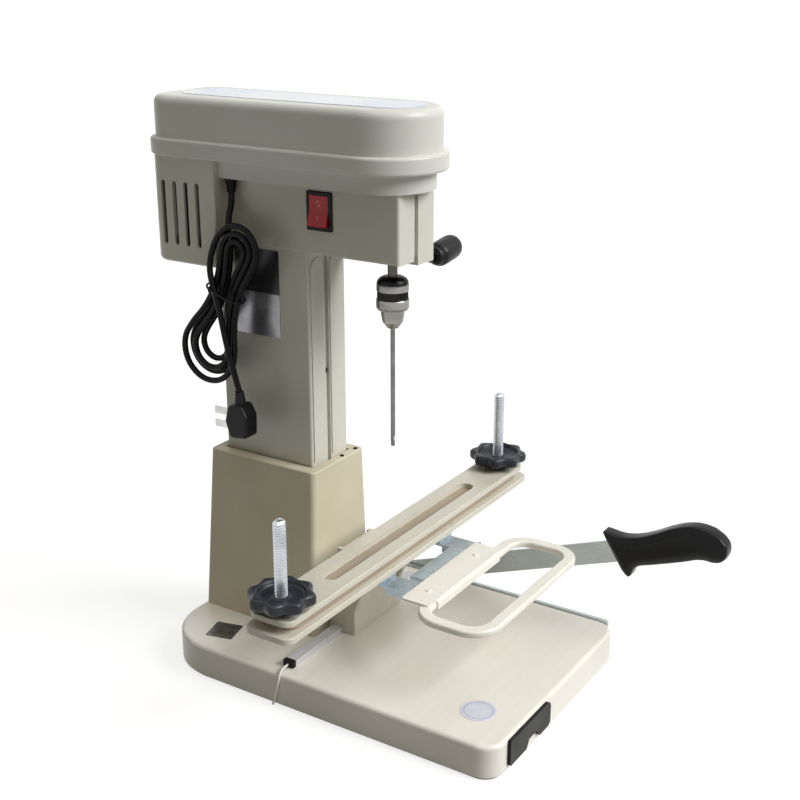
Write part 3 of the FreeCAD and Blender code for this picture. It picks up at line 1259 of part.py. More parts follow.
def make_knife_blade():
    y0 = KNIFE_PIVOT_Y
    z0 = KNIFE_PIVOT_Z
    half = KNIFE_WIDTH / 2
    front = y0 - KNIFE_LENGTH
    points = [(front, z0 - half), (y0 + KNIFE_HEEL, z0 - half), (y0 + KNIFE_HEEL, z0 + half), (front, z0 + half)]
    blade = prism_x(points, [0, half * 0.999, half * 0.999, 0], knife_x0, knife_x1)
    hole = rod(KNIFE_BOLT + RUNNING_GAP, V(knife_x0 - 1, y0, z0), V(knife_x1 + 1, y0, z0))
    bevel = prism_x([(front - 1, z0 - half - 1), (y0 - 40, z0 - half - 1), (y0 - 40, z0 - half),
                     (front - 1, z0 - half)], [0] * 4, knife_x0, knife_x1)
    return knife_turn(blade.cut(hole).cut(bevel))


def knife_handle_wire(scale, x):
    """Outline of the grip in the blade's level frame, drawn in towards its middle line by scale."""
    y0 = KNIFE_PIVOT_Y
    z0 = KNIFE_PIVOT_Z
    upper = [(-207, 16.5), (-219, 18.5), (-245, 6.5), (-272, 8.0), (-303, 15.5), (-322, 12.5)]
    lower = [(-331, -6.0), (-322, -14.5), (-308, -11.5), (-280, -12.5), (-251, -14.5), (-239, -25.0),
             (-228, -25.0), (-214, -12.5)]
    points = []
    for y, z in upper + lower:
        centre_y, centre_z = -268.0, -2.0
        points.append(V(x, y0 + centre_y + (y - centre_y) * (0.5 + scale / 2), z0 + centre_z + (z - centre_z) * scale))
    curve = Part.BSplineCurve()
    curve.interpolate(points, PeriodicFlag=True)
    return Part.Wire([curve.toShape()])


def make_knife_handle():
    middle = (knife_x0 + knife_x1) / 2
    half = HANDLE_HALF_THICKNESS
    sections = [knife_handle_wire(0.80, middle - half), knife_handle_wire(0.95, middle - half * 0.72),
                knife_handle_wire(1.0, middle - half * 0.3), knife_handle_wire(1.0, middle + half * 0.3),
                knife_handle_wire(0.95, middle + half * 0.72), knife_handle_wire(0.80, middle + half)]
    handle = knife_turn(Part.makeLoft(sections, True, True))
    return handle.cut(make_knife_blade())


def make_knife_bolt():
    y = KNIFE_PIVOT_Y
    z = KNIFE_PIVOT_Z
    shank = rod(KNIFE_BOLT, V(base_right - 24, y, z), V(knife_x1 + 0.3, y, z))
    washer = rod(9.0, V(knife_x1 + 0.3, y, z), V(knife_x1 + 1.8, y, z))
    head = rod(7.0, V(knife_x1 + 1.8, y, z), V(knife_x1 + 7.0, y, z))
    head = soften(head, 1.2, lambda b: level(b.XMin, b.XMax) and b.XMin > knife_x1 + 6)
    return fuse([shank, washer, head])


def route_wire(points, share=0.45):
    """Straight runs joined by tangent arcs, and the list of the arcs' radii."""
    edges = []
    radii = []
    last = points[0]
    for index in range(1, len(points) - 1):
        corner = points[index]
        before = corner - points[index - 1]
        after = points[index + 1] - corner
        turn = before.getAngle(after)
        reach = share * min(before.Length, after.Length)
        if turn < 1e-4:
            continue
        radii.append(reach / math.tan(turn / 2))
        back = V(before).normalize()
        forth = V(after).normalize()
        start = corner - back * reach
        end = corner + forth * reach
        bisector = (forth - back).normalize()
        centre = corner + bisector * (radii[-1] / math.cos(turn / 2))
        edges.append(Part.LineSegment(last, start).toShape())
        edges.append(Part.Arc(start, centre - bisector * radii[-1], end).toShape())
        last = end
    edges.append(Part.LineSegment(last, points[-1]).toShape())
    return Part.Wire(edges), radii


def route_tube(points, diameter, name):
    """A round tube along a route. Its radii and its volume against its length are printed."""
    wire, radii = route_wire(points)
    start = points[0]
    circle = Part.Wire([Part.makeCircle(diameter / 2, start, points[1] - start)])
    solid = wire.makePipeShell([circle], True, True)
    expected = math.pi * diameter ** 2 / 4 * wire.Length
    print("%s: length %.1f, radii %s, volume share %.4f"
          % (name, wire.Length, " ".join("%.1f" % r for r in radii), solid.Volume / expected))
    return solid


def hank_loop(grow):
    """Axis, circles and waist radius of the loop that lies grow outside the innermost one."""
    upper = V(0, HANK_UPPER_CENTRE[0] + HANK_UPPER_SHIFT[0] * grow,
              HANK_UPPER_CENTRE[1] + HANK_UPPER_SHIFT[1] * grow)
    lower = V(0, HANK_LOWER_CENTRE[0] + HANK_LOWER_SHIFT[0] * grow,
              HANK_LOWER_CENTRE[1] + HANK_LOWER_SHIFT[1] * grow)
    upper_radius = HANK_UPPER_RADIUS + HANK_UPPER_GROWTH * grow
    lower_radius = HANK_LOWER_RADIUS + HANK_LOWER_GROWTH * grow
    half = HANK_WAIST_HALF + grow
    apart = (upper - lower).Length
    low, high = 1.0, 2000.0
    for _ in range(60):
        waist = (low + high) / 2
        foot = (apart ** 2 + (upper_radius + waist) ** 2 - (lower_radius + waist) ** 2) / (2 * apart)
        reach = math.sqrt(max(0.0, (upper_radius + waist) ** 2 - foot ** 2)) - waist
        if reach < half:
            low = waist
        else:
            high = waist
    return upper, lower, upper_radius, lower_radius, waist, foot


def hank_point(turn):
    """A point of the hank's middle line, that many turns after its first pass down the waist."""
    away = turn - HANK_CLIMB
    grow = HANK_STEP * (math.sqrt(away ** 2 + 0.01) - 0.1)
    upper, lower, upper_radius, lower_radius, waist, foot = hank_loop(grow)
    up = (upper - lower).normalize()
    back = V(0, up.z, -up.y)
    half = HANK_WAIST_HALF + grow
    middle = upper - up * foot
    high_angle = math.asin(foot / (upper_radius + waist))
    low_angle = math.asin(((upper - lower).Length - foot) / (lower_radius + waist))
    share = HANK_RUN_SHARE
    phase = turn % 1.0
    if phase > 1 - share:
        phase -= 1.0
    if phase <= share:
        angle = high_angle - (high_angle + low_angle) * (phase + share) / (2 * share)
        point = middle + back * (half + waist - waist * math.cos(angle)) + up * waist * math.sin(angle)
    elif phase <= 0.5 - share:
        angle = (math.pi / 2 + low_angle) * (1 - 2 * (phase - share) / (0.5 - 2 * share))
        point = lower + (back * math.sin(angle) - up * math.cos(angle)) * lower_radius
    elif phase <= 0.5 + share:
        angle = (high_angle + low_angle) * (phase - 0.5 + share) / (2 * share) - low_angle
        point = middle - back * (half + waist - waist * math.cos(angle)) + up * waist * math.sin(angle)
    else:
        angle = (math.pi / 2 + high_angle) * (2 * (phase - 0.5 - share) / (0.5 - 2 * share) - 1)
        point = upper + (back * math.sin(angle) + up * math.cos(angle)) * upper_radius
    climb = max(-1.0, min(1.0, away / HANK_CLIMB_SHARE))
    layer = (1 + math.sin(climb * math.pi / 2)) / 2
    return V(HANK_LAYER - HANK_LAYER_STEP * layer, point.y, point.z)


def hank_way(turn):
    """The direction of the hank's middle line there."""
    return (hank_point(turn + 1e-4) - hank_point(turn - 1e-4)).normalize()


def hank_stations():
    """Turns at which the line's arcs meet: both ends and the middle of each run, thirds of a lobe."""
    share = HANK_RUN_SHARE
    third = (0.5 - 2 * share) / 3
    marks = [0.0, share, share + third, share + 2 * third, 0.5 - share]
    turns = [half / 2 + mark for half in range(-2, 10) for mark in marks]
    inside = [turn for turn in turns if HANK_START + 0.03 < turn < HANK_END - 0.03]
    return [HANK_START] + inside + [HANK_END]


def arc_from(start, way, end):
    """The arc that leaves start along way and reaches end."""
    chord = end - start
    along = V(chord).normalize()
    side = way - along * way.dot(along)
    if side.Length < 1e-6:
        return Part.LineSegment(start, end).toShape()
    bend = way.getAngle(chord)
    middle = (start + end) / 2 + side.normalize() * (chord.Length / 2 * math.tan(bend / 2))
    return Part.Arc(start, middle, end).toShape()


def arc_to(start, end, way):
    """The arc that leaves start and reaches end along way."""
    chord = start - end
    back = way * -1
    along = V(chord).normalize()
    side = back - along * back.dot(along)
    if side.Length < 1e-6:
        return Part.LineSegment(start, end).toShape()
    bend = back.getAngle(chord)
    middle = (start + end) / 2 + side.normalize() * (chord.Length / 2 * math.tan(bend / 2))
    return Part.Arc(start, middle, end).toShape()


def two_arcs(start, start_way, end, end_way):
    """Two arcs that meet smoothly between two points with given directions."""
    chord = end - start
    both = start_way + end_way
    spread = 2 * (1 - start_way.dot(end_way))
    if spread < 1e-9:
        reach = chord.dot(chord) / (4 * chord.dot(end_way))
    else:
        along = chord.dot(both)
        reach = (math.sqrt(along ** 2 + spread * chord.dot(chord)) - along) / spread
    meet = (start + end + (start_way - end_way) * reach) / 2
    return [arc_from(start, start_way, meet), arc_to(meet, end, end_way)]


def hank_ends():
    """The hank's first and last points, after a straight diameter at each end."""
    first = hank_point(HANK_START) - hank_way(HANK_START) * CORD_DIAMETER
    last = hank_point(HANK_END) + hank_way(HANK_END) * CORD_DIAMETER
    return first, last


def least_self_gap(wire, diameter):
    """Least gap between parts of a tube that are more than three diameters apart along it."""
    points = []
    for edge in wire.OrderedEdges:
        points += edge.discretize(Number=max(3, int(edge.Length / 1.2)))[:-1]
    travelled = [0.0]
    for index in range(1, len(points)):
        travelled.append(travelled[-1] + (points[index] - points[index - 1]).Length)
    rows = [(p.x, p.y, p.z) for p in points]
    least = 1e9
    for i, (x, y, z) in enumerate(rows):
        for j in range(i + 1, len(rows)):
            if travelled[j] - travelled[i] > 3 * diameter:
                u, v, w = rows[j]
                least = min(least, (x - u) ** 2 + (y - v) ** 2 + (z - w) ** 2)
    return math.sqrt(least) - diameter


# Routes, chosen by hand, between the hank and what the lead comes from and goes to
hank_first, hank_last = hank_ends()
LEAD_ROUTE = [V(-32.4, 135.0, 411.2), V(-32.4, 135.0, 405.0), V(-34.6, 134.4, 398.2), V(-39.2, 133.3, 391.6),
              hank_first - hank_way(HANK_START) * 7.5, hank_first]
TAIL_ROUTE = [hank_last, hank_last + hank_way(HANK_END) * 6.0, V(-50.8, 146.0, 354.5), V(-53.9, 143.2, 344.0),
              V(-54.6, 139.4, 333.0), V(-54.7, 134.9, 319.0), V(-54.7, 131.0, 299.0), V(-54.5, 126.0, 277.0),
              V(-53.2, 121.8, 259.5), V(-51.5, 119.6, 246.0)]
THREAD_ROUTE = [V(-95.0, 43.5, 33.25), V(-99.0, 43.3, 33.4), V(-104.5, 42.6, 33.2), V(-108.6, 41.9, 30.5),
                V(-109.6, 41.3, 24.5), V(-109.9, 40.8, 15.5), V(-110.2, 40.3, 8.0), V(-110.9, 39.8, 1.6)]


def make_cord_relief():
    flange = rod(RELIEF_TOP_RADIUS + 1.0, CORD_EXIT - V(0, 0, 2), CORD_EXIT)
    taper = cone(RELIEF_TOP_RADIUS, RELIEF_TIP_RADIUS, CORD_EXIT - V(0, 0, 2), relief_tip)
    way = (LEAD_ROUTE[1] - LEAD_ROUTE[0]).normalize()
    bore = rod(CORD_DIAMETER / 2 + 0.05, LEAD_ROUTE[0], LEAD_ROUTE[0] + way * 4.0)
    return fuse([flange, taper]).cut(bore)


def make_cord_lead():
    return route_tube(LEAD_ROUTE, CORD_DIAMETER, "cord_lead")


def make_cord_hank():
    """The hank's one unbroken tube."""
    stations = hank_stations()
    first, last = hank_ends()
    edges = [Part.LineSegment(first, hank_point(stations[0])).toShape()]
    for here, there in zip(stations, stations[1:]):
        edges += two_arcs(hank_point(here), hank_way(here), hank_point(there), hank_way(there))
    edges.append(Part.LineSegment(hank_point(stations[-1]), last).toShape())
    wire = Part.Wire(edges)
    circle = Part.Wire([Part.makeCircle(CORD_DIAMETER / 2, first, hank_way(HANK_START))])
    tube = wire.makePipeShell([circle], True, False)
    expected = math.pi * CORD_DIAMETER ** 2 / 4 * wire.Length
    print("cord_hank: length %.1f, %d arcs, least self gap %.2f, volume share %.4f"
          % (wire.Length, len(edges) - 2, least_self_gap(wire, CORD_DIAMETER), tube.Volume / expected))
    return tube


def make_cord_tie():
    """The band round the hank's waist and the tail that crosses it."""
    upper, lower, _, _, _, foot = hank_loop(0)
    up = (upper - lower).normalize()
    back = V(0, up.z, -up.y)
    middle = upper - up * foot
    half = HANK_WAIST_HALF + 2.0 * HANK_STEP + CORD_DIAMETER / 2
    near = HANK_LAYER + CORD_DIAMETER / 2
    far = TAIL_ROUTE[5].x - CORD_DIAMETER / 2

    def band(gap):
        corners = [(near + gap, -half - gap), (far - gap, -half - gap), (far - gap, half + gap),
                   (near + gap, half + gap)]
        place = [V(x, 0, 0) + middle + back * v - up * 2.0 for x, v in corners]
        return Part.Face(Part.makePolygon(place + [place[0]])).extrude(up * 4.0)

    return band(1.3).cut(band(0.35))


def make_cord_tail():
    return route_tube(TAIL_ROUTE, CORD_DIAMETER, "cord_tail")


def make_plug_body():
    """Moulded plug with its strain relief on top."""
    x = PLUG_X
    points = [(108.0, 209.0), (126.0, 207.0), (130.5, 222.0), (127.0, 236.0), (113.0, 238.0), (107.5, 228.0)]
    body = prism_x(points, [4.0] * 6, x - 8.0, x + 8.0)
    body = soften(body, 2.0, lambda b: level(b.XMin, b.XMax))
    end = TAIL_ROUTE[-1]
    relief = cone(5.2, 3.8, V(x, 119.6, 236.0), V(end.x, end.y, end.z + 1.5))
    body = fuse([body, relief])
    return body.cut(make_cord_tail_stub())


def make_cord_tail_stub():
    """The last straight length of the tail, which the relief takes in."""
    way = (TAIL_ROUTE[-2] - TAIL_ROUTE[-1]).normalize()
    return rod(CORD_DIAMETER / 2 + 0.05, TAIL_ROUTE[-1], TAIL_ROUTE[-1] + way * 4)


def make_plug_pins():
    pins = []
    for z in (215.0, 227.0):
        pins.append(block(PLUG_X - 0.8, PLUG_X + 0.8, 128.0, 147.0, z - 3.1, z + 3.1))
    body = make_plug_body()
    return Part.makeCompound([pin.cut(body) for pin in pins])


def make_binding_thread():
    return route_tube(THREAD_ROUTE, THREAD_DIAMETER, "binding_thread")


PIECES = {
    "anti_slip_pad": make_anti_slip_pad,
    "base_board": make_base_board,
    "column_foot": make_column_foot,
    "column_cover": make_column_cover,
    "guide_post": make_guide_post,
    "feed_rack": make_feed_rack,
    "return_spring": make_return_spring,
    "slide_rail": make_slide_rail,
    "rail_end_plug": make_rail_end_plug,
    "base_labels": make_base_labels,
    "fixed_blade": make_fixed_blade,
    "knife_bolt": make_knife_bolt,
    "binding_thread": make_binding_thread,
    "drawer": make_drawer,
    "left_body_half": make_left_body_half,
    "right_body_half": make_right_body_half,
    "centre_strips": make_centre_strips,
    "guide_blocks": make_guide_blocks,
    "spindle_housing": make_spindle_housing,
    "spindle_bearings": make_spindle_bearings,
    "head_tray": make_head_tray,
    "belt_cover": make_belt_cover,
    "top_label": make_top_label,
    "motor_housing": make_motor_housing,
    "motor_can": make_motor_can,
    "drive_belt": make_drive_belt,
    "switch_bezel": make_switch_bezel,
    "rating_plate": make_rating_plate,
    "cord_relief": make_cord_relief,
    "cord_lead": make_cord_lead,
    "cord_hank": make_cord_hank,
    "cord_tie": make_cord_tie,
    "cord_tail": make_cord_tail,
    "plug_body": make_plug_body,
    "plug_pins": make_plug_pins,
    "feed_pinion": make_feed_pinion,
    "feed_lever": make_feed_lever,
    "lever_grip": make_lever_grip,
    "spindle": make_spindle,
    "spindle_pulley": make_spindle_pulley,
    "chuck_body": make_chuck_body,
    "chuck_nose": make_chuck_nose,
    "drill_bit": make_drill_bit,
    "motor_rotor": make_motor_rotor,
    "motor_pulley": make_motor_pulley,
    "switch_rocker": make_switch_rocker,
    "saddle": make_saddle,
    "lower_bar": make_lower_bar,
    "clamp_bed": make_clamp_bed,
    "clamp_studs": make_clamp_studs,
    "back_gauge": make_back_gauge,
    "hinge_fixed_leaves": make_hinge_fixed_leaves,
    "upper_bar": make_upper_bar,
    "left_knob": make_left_knob,
    "right_knob": make_right_knob,
    "hinge_moving_leaves": make_hinge_moving_leaves,
    "handle_plate": make_handle_plate,
    "loop_handle": make_loop_handle,
    "knife_blade": make_knife_blade,
    "knife_handle": make_knife_handle,
}


def main():
    """Builds every piece and writes it about the centre of the pad's underside."""
    os.makedirs("parts", exist_ok=True)
    shift = V(-BASE_CENTRE_X, -BASE_CENTRE_Y, 0)
    for name, make in PIECES.items():
        shape = make().translated(shift)
        solids = shape.Solids
        if not shape.isValid() or not solids:
            print("BAD", name, len(solids))
        print("%s: %d solid, %.1f cm3" % (name, len(solids), shape.Volume / 1000))
        shape.exportStep("parts/%s.step" % name)


main()
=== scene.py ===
"""Looks of a bench paper drill with a clamping carriage and a side trimming knife.

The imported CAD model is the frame, and everything is in its metres: X is the operator's right,
Y is the back and Z is up. Places on the machine are written in millimetres from the drill's
axis, as the machine's own drawing has them, and turned into the frame by from_axis().
"""

import logging
import math
from dataclasses import dataclass, field
from enum import Enum
from typing import Callable, Iterable, Sequence

import bmesh
import bpy
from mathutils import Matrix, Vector

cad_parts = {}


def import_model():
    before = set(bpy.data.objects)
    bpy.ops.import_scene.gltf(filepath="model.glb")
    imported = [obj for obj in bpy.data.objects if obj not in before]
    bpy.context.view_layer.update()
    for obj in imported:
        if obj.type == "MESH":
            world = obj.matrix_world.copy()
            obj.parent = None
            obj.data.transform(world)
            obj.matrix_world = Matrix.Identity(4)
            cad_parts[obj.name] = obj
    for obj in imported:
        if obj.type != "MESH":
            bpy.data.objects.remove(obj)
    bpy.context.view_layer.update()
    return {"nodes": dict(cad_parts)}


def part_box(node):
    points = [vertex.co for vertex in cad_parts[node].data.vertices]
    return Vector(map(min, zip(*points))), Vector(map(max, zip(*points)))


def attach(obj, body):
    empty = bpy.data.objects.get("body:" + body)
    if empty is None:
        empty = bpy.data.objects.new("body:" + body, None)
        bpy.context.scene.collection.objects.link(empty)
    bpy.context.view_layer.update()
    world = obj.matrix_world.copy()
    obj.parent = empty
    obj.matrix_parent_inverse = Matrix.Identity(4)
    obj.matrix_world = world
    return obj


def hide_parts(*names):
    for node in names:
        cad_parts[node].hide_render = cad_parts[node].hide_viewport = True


log = logging.getLogger("paper_drill")

MM = 0.001
FACING = 0.9  # how squarely, as a cosine, a face has to look a way before it is picked
DOUBLED = 0.003  # millimetres between points that are joined into one
SPLINE_ORDER = 3  # of the soft lines' curves
SPLINE_STEPS = 6  # drawn between two points of a soft line

Colour = tuple[float, float, float, float]
Place = tuple[float, float, float]
Profile = Sequence[tuple[float, float]]
Entry = Callable[[str], bpy.types.NodeSocket]
Sockets = dict[str, bpy.types.NodeSocket]


def seen(red: int, green: int, blue: int) -> Colour:
    """The linear colour of a shade given as it looks on a screen.

    Args:
        red: Red, 0 to 255.
        green: Green, 0 to 255.
        blue: Blue, 0 to 255.

    Returns:
        Linear red, green, blue and an alpha of 1.
    """
    parts = []
    for value in (red, green, blue):
        share = value / 255
        parts.append(share / 12.92 if share <= 0.04045 else ((share + 0.055) / 1.055) ** 2.4)
    return (parts[0], parts[1], parts[2], 1.0)


# ---------------------------------------------------------------- tools of the bench


def put_tools_down() -> None:
    """Leaves edit mode, with nothing selected."""
    active = bpy.context.view_layer.objects.active
    if active is not None and active.mode != "OBJECT":
        bpy.ops.object.mode_set(mode="OBJECT")
    bpy.ops.object.select_all(action="DESELECT")


def take(piece: bpy.types.Object) -> None:
    """Selects one piece alone and makes it the active one.

    Args:
        piece: The piece.
    """
    put_tools_down()
    piece.select_set(True)
    bpy.context.view_layer.objects.active = piece


def open_mesh(piece: bpy.types.Object, mode: str = "FACE") -> None:
    """Opens a piece's mesh for editing, with nothing picked.

    Args:
        piece: The piece.
        mode: What is picked in it: VERT, EDGE or FACE.
    """
    take(piece)
    bpy.ops.object.mode_set(mode="EDIT")
    bpy.ops.mesh.select_mode(type=mode)
    bpy.ops.mesh.select_all(action="DESELECT")


def pick_points(piece: bpy.types.Object, wanted: Callable[[Vector], bool]) -> None:
    """Picks the mesh's points by their place, in edit mode.

    Args:
        piece: The piece whose mesh is open.
        wanted: Tells whether a point, in the frame, is picked.
    """
    bpy.ops.mesh.select_mode(type="VERT")
    bpy.ops.mesh.select_all(action="DESELECT")
    mesh = bmesh.from_edit_mesh(piece.data)
    for point in mesh.verts:
        point.select = wanted(piece.matrix_world @ point.co)
    mesh.select_flush(True)
    bmesh.update_edit_mesh(piece.data)


def pick_faces(piece: bpy.types.Object, wanted: Callable[[Vector, Vector], bool]) -> None:
    """Picks the mesh's faces by middle and normal, in edit mode.

    Args:
        piece: The piece whose mesh is open.
        wanted: Tells whether a face with that middle and normal is picked.
    """
    bpy.ops.mesh.select_mode(type="FACE")
    bpy.ops.mesh.select_all(action="DESELECT")
    mesh = bmesh.from_edit_mesh(piece.data)
    mesh.normal_update()
    for face in mesh.faces:
        face.select = wanted(piece.matrix_world @ face.calc_center_median(), face.normal)
    mesh.select_flush_mode()
    bmesh.update_edit_mesh(piece.data)


def scale_picked(amount: Sequence[float], about: Vector) -> None:
    """Scales what is picked about a point.

    Args:
        amount: Scale along X, Y and Z.
        about: The point that stays.
    """
    bpy.ops.transform.resize(value=tuple(amount), center_override=tuple(about))


def pull_picked(way: Vector) -> None:
    """Extrudes what is picked by a distance."""
    bpy.ops.mesh.extrude_region_move(TRANSFORM_OT_translate={"value": tuple(way)})


def use_modifier(piece: bpy.types.Object, kind: str, **settings: object) -> None:
    """Adds a modifier with its settings and applies it.

    Args:
        piece: The piece that gets it.
        kind: Blender's name for the kind of modifier.
        **settings: The modifier's own settings.
    """
    take(piece)
    modifier = piece.modifiers.new(kind, kind)
    for name, value in settings.items():
        setattr(modifier, name, value)
    bpy.ops.object.modifier_apply(modifier=modifier.name)


def settle(piece: bpy.types.Object, sharp_at: float = 35.0) -> bpy.types.Object:
    """Puts a finished piece's place into its mesh and smooths what isn't sharp.

    Args:
        piece: The finished piece.
        sharp_at: Degrees between faces from which an edge stays sharp.

    Returns:
        The same piece, with its object at the origin.
    """
    take(piece)
    bpy.ops.object.transform_apply(location=True, rotation=True, scale=True)
    bpy.ops.object.shade_smooth_by_angle(angle=math.radians(sharp_at))
    return piece


def draw_line(name: str, points: Sequence[Vector]) -> bpy.types.Object:
    """Draws a line by pulling one point along, and leaves its mesh open.

    Args:
        name: The piece's name.
        points: The line's corners, in the frame.

    Returns:
        The piece.
    """
    put_tools_down()
    bpy.ops.mesh.primitive_plane_add(size=MM, location=points[0])
    piece = bpy.context.object
    piece.name = name
    piece.data.name = name
    bpy.ops.object.mode_set(mode="EDIT")
    bpy.ops.mesh.select_mode(type="VERT")
    bpy.ops.mesh.select_all(action="SELECT")
    bpy.ops.mesh.merge(type="CENTER")
    for before, after in zip(points, points[1:]):
        bpy.ops.mesh.extrude_vertices_move(TRANSFORM_OT_translate={"value": tuple(after - before)})
    return piece


def close_shell(piece: bpy.types.Object) -> None:
    """Joins doubled points and turns all faces outwards, and leaves the mesh open.

    Args:
        piece: The piece.
    """
    open_mesh(piece, "VERT")
    bpy.ops.mesh.select_all(action="SELECT")
    bpy.ops.mesh.remove_doubles(threshold=DOUBLED * MM)
    bpy.ops.mesh.normals_make_consistent(inside=False)


def spin_profile(name: str, profile: Profile, foot: Vector, axis: Vector, steps: int = 48) -> bpy.types.Object:
    """Turns a profile about an axis, as on a lathe.

    Args:
        name: The piece's name.
        profile: Radius and distance along the axis of each corner, in millimetres.
        foot: The point of the axis from which the distances count.
        axis: The direction of the axis.
        steps: Faces round the piece.

    Returns:
        The turned piece, with its faces outwards.
    """
    along = axis.normalized()
    side = along.orthogonal().normalized()
    points = [foot + side * radius * MM + along * height * MM for radius, height in profile]
    piece = draw_line(name, points)
    bpy.ops.mesh.select_all(action="SELECT")
    bpy.ops.mesh.spin(steps=steps, angle=2 * math.pi, center=tuple(foot), axis=tuple(along))
    close_shell(piece)
    put_tools_down()
    return piece


def join_pieces(pieces: Sequence[bpy.types.Object]) -> bpy.types.Object:
    """Joins pieces into the first of them.

    Args:
        pieces: What is joined.

    Returns:
        The first piece, which now holds all.
    """
    take(pieces[0])
    for piece in pieces[1:]:
        piece.select_set(True)
    bpy.ops.object.join()
    return pieces[0]


def copy_piece(piece: bpy.types.Object, name: str, shift: Vector) -> bpy.types.Object:
    """A copy of a piece with its own mesh, moved by shift.

    Args:
        piece: The piece that is copied.
        name: The copy's name.
        shift: How far the copy lies from the first.

    Returns:
        The copy, settled.
    """
    take(piece)
    bpy.ops.object.duplicate(linked=False)
    twin = bpy.context.object
    twin.name = name
    twin.data.name = name
    twin.location = twin.location + shift
    return settle(twin)


# ---------------------------------------------------------------- node groups shared by finishes


@dataclass
class Graph:
    """A node tree, with short ways to add nodes and join them."""

    tree: bpy.types.NodeTree

    def add(self, kind: str, inputs: dict | None = None, **settings: object) -> bpy.types.Node:
        """Adds a node.

        Args:
            kind: The node's type, without its Shader prefix.
            inputs: A socket to join, or a value, by the input's name or number.
            **settings: The node's own settings.

        Returns:
            The node.
        """
        node = self.tree.nodes.new("ShaderNode" + kind)
        for name, value in settings.items():
            setattr(node, name, value)
        for name, value in (inputs or {}).items():
            self.feed(node.inputs[name], value)
        return node

    def feed(self, entry: bpy.types.NodeSocket, value: object) -> None:
        """Joins a socket to an input, or sets the input's own value.

        Args:
            entry: The input.
            value: A socket that is joined to it, or a value.
        """
        if isinstance(value, bpy.types.NodeSocket):
            self.tree.links.new(value, entry)
        else:
            entry.default_value = value

    def maths(self, operation: str, *values: object) -> bpy.types.NodeSocket:
        """The result of a Math node."""
        return self.add("Math", dict(enumerate(values)), operation=operation).outputs[0]

    def spread(self, value: bpy.types.NodeSocket, low: float, high: float, to_low: object = 0.0,
               to_high: object = 1.0) -> bpy.types.NodeSocket:
        """A value moved from one range into another, and kept inside it."""
        return self.add("MapRange", {0: value, 1: low, 2: high, 3: to_low, 4: to_high}).outputs[0]

    def blend(self, factor: object, first: object, second: object) -> bpy.types.NodeSocket:
        """A mix of two colours, through the sockets that a Mix node has for colours.

        Args:
            factor: Share of the second colour.
            first: The first colour.
            second: The second colour.

        Returns:
            The mixed colour.
        """
        return self.add("Mix", {0: factor, 6: first, 7: second}, data_type="RGBA").outputs[2]

    def noise(self, vector: object, scale: object, detail: float = 2.0) -> bpy.types.NodeSocket:
        """A noise value about 0.5."""
        return self.add("TexNoise", {"Vector": vector, "Scale": scale, "Detail": detail}).outputs[0]


class Socket(Enum):
    """Kinds of socket that the shared groups have."""

    NUMBER = "NodeSocketFloat"
    VECTOR = "NodeSocketVector"
    COLOUR = "NodeSocketColor"


@dataclass
class SharedGroup:
    """A node group that is built once and placed in many materials."""

    name: str
    inputs: Sequence[tuple[str, Socket]]
    outputs: Sequence[tuple[str, Socket]]
    fill: Callable[[Graph, Entry], Sockets]

    def tree(self) -> bpy.types.NodeTree:
        """The group's node tree, built the first time that it is asked for.

        Returns:
            The tree.
        """
        if self.name in bpy.data.node_groups:
            return bpy.data.node_groups[self.name]
        tree = bpy.data.node_groups.new(self.name, "ShaderNodeTree")
        for name, kind in self.inputs:
            tree.interface.new_socket(name, in_out="INPUT", socket_type=kind.value)
        for name, kind in self.outputs:
            tree.interface.new_socket(name, in_out="OUTPUT", socket_type=kind.value)
        entry = tree.nodes.new("NodeGroupInput")
        way_out = tree.nodes.new("NodeGroupOutput")
        results = self.fill(Graph(tree), lambda name: entry.outputs[name])
        for name, socket in results.items():
            tree.links.new(socket, way_out.inputs[name])
        return tree

    def place(self, graph: Graph, inputs: dict) -> bpy.types.Node:
        """Puts the group into a material.

        Args:
            graph: The material's nodes.
            inputs: A socket or a value for each of the group's inputs.

        Returns:
            The group's node.
        """
        return graph.add("Group", inputs, node_tree=self.tree())


def fill_tone(graph: Graph, entry: Entry) -> Sockets:
    """Slow drift between two close colours."""
    drift = graph.noise(entry("Vector"), entry("Spread"), 3.0)
    return {"Color": graph.blend(graph.spread(drift, 0.3, 0.7), entry("Colour"), entry("Shade"))}


def fill_gloss(graph: Graph, entry: Entry) -> Sockets:
    """Roughness that varies as on a handled surface."""
    smear = graph.noise(entry("Vector"), entry("Spread"), 4.0)
    return {"Roughness": graph.spread(smear, 0.35, 0.7, entry("Low"), entry("High"))}


def fill_relief(graph: Graph, entry: Entry) -> Sockets:
    """Fine grain on top of a slow waviness.

    Args:
        graph: The group's nodes.
        entry: Gives one of the group's inputs by its name.

    Returns:
        The group's outputs by their names.
    """
    fine = graph.noise(entry("Vector"), entry("Grain"), 2.0)
    slow = graph.noise(entry("Vector"), entry("Wave"), 1.0)
    height = graph.maths("ADD", graph.maths("MULTIPLY", fine, 0.55), graph.maths("MULTIPLY", slow, 0.45))
    return {"Height": height}


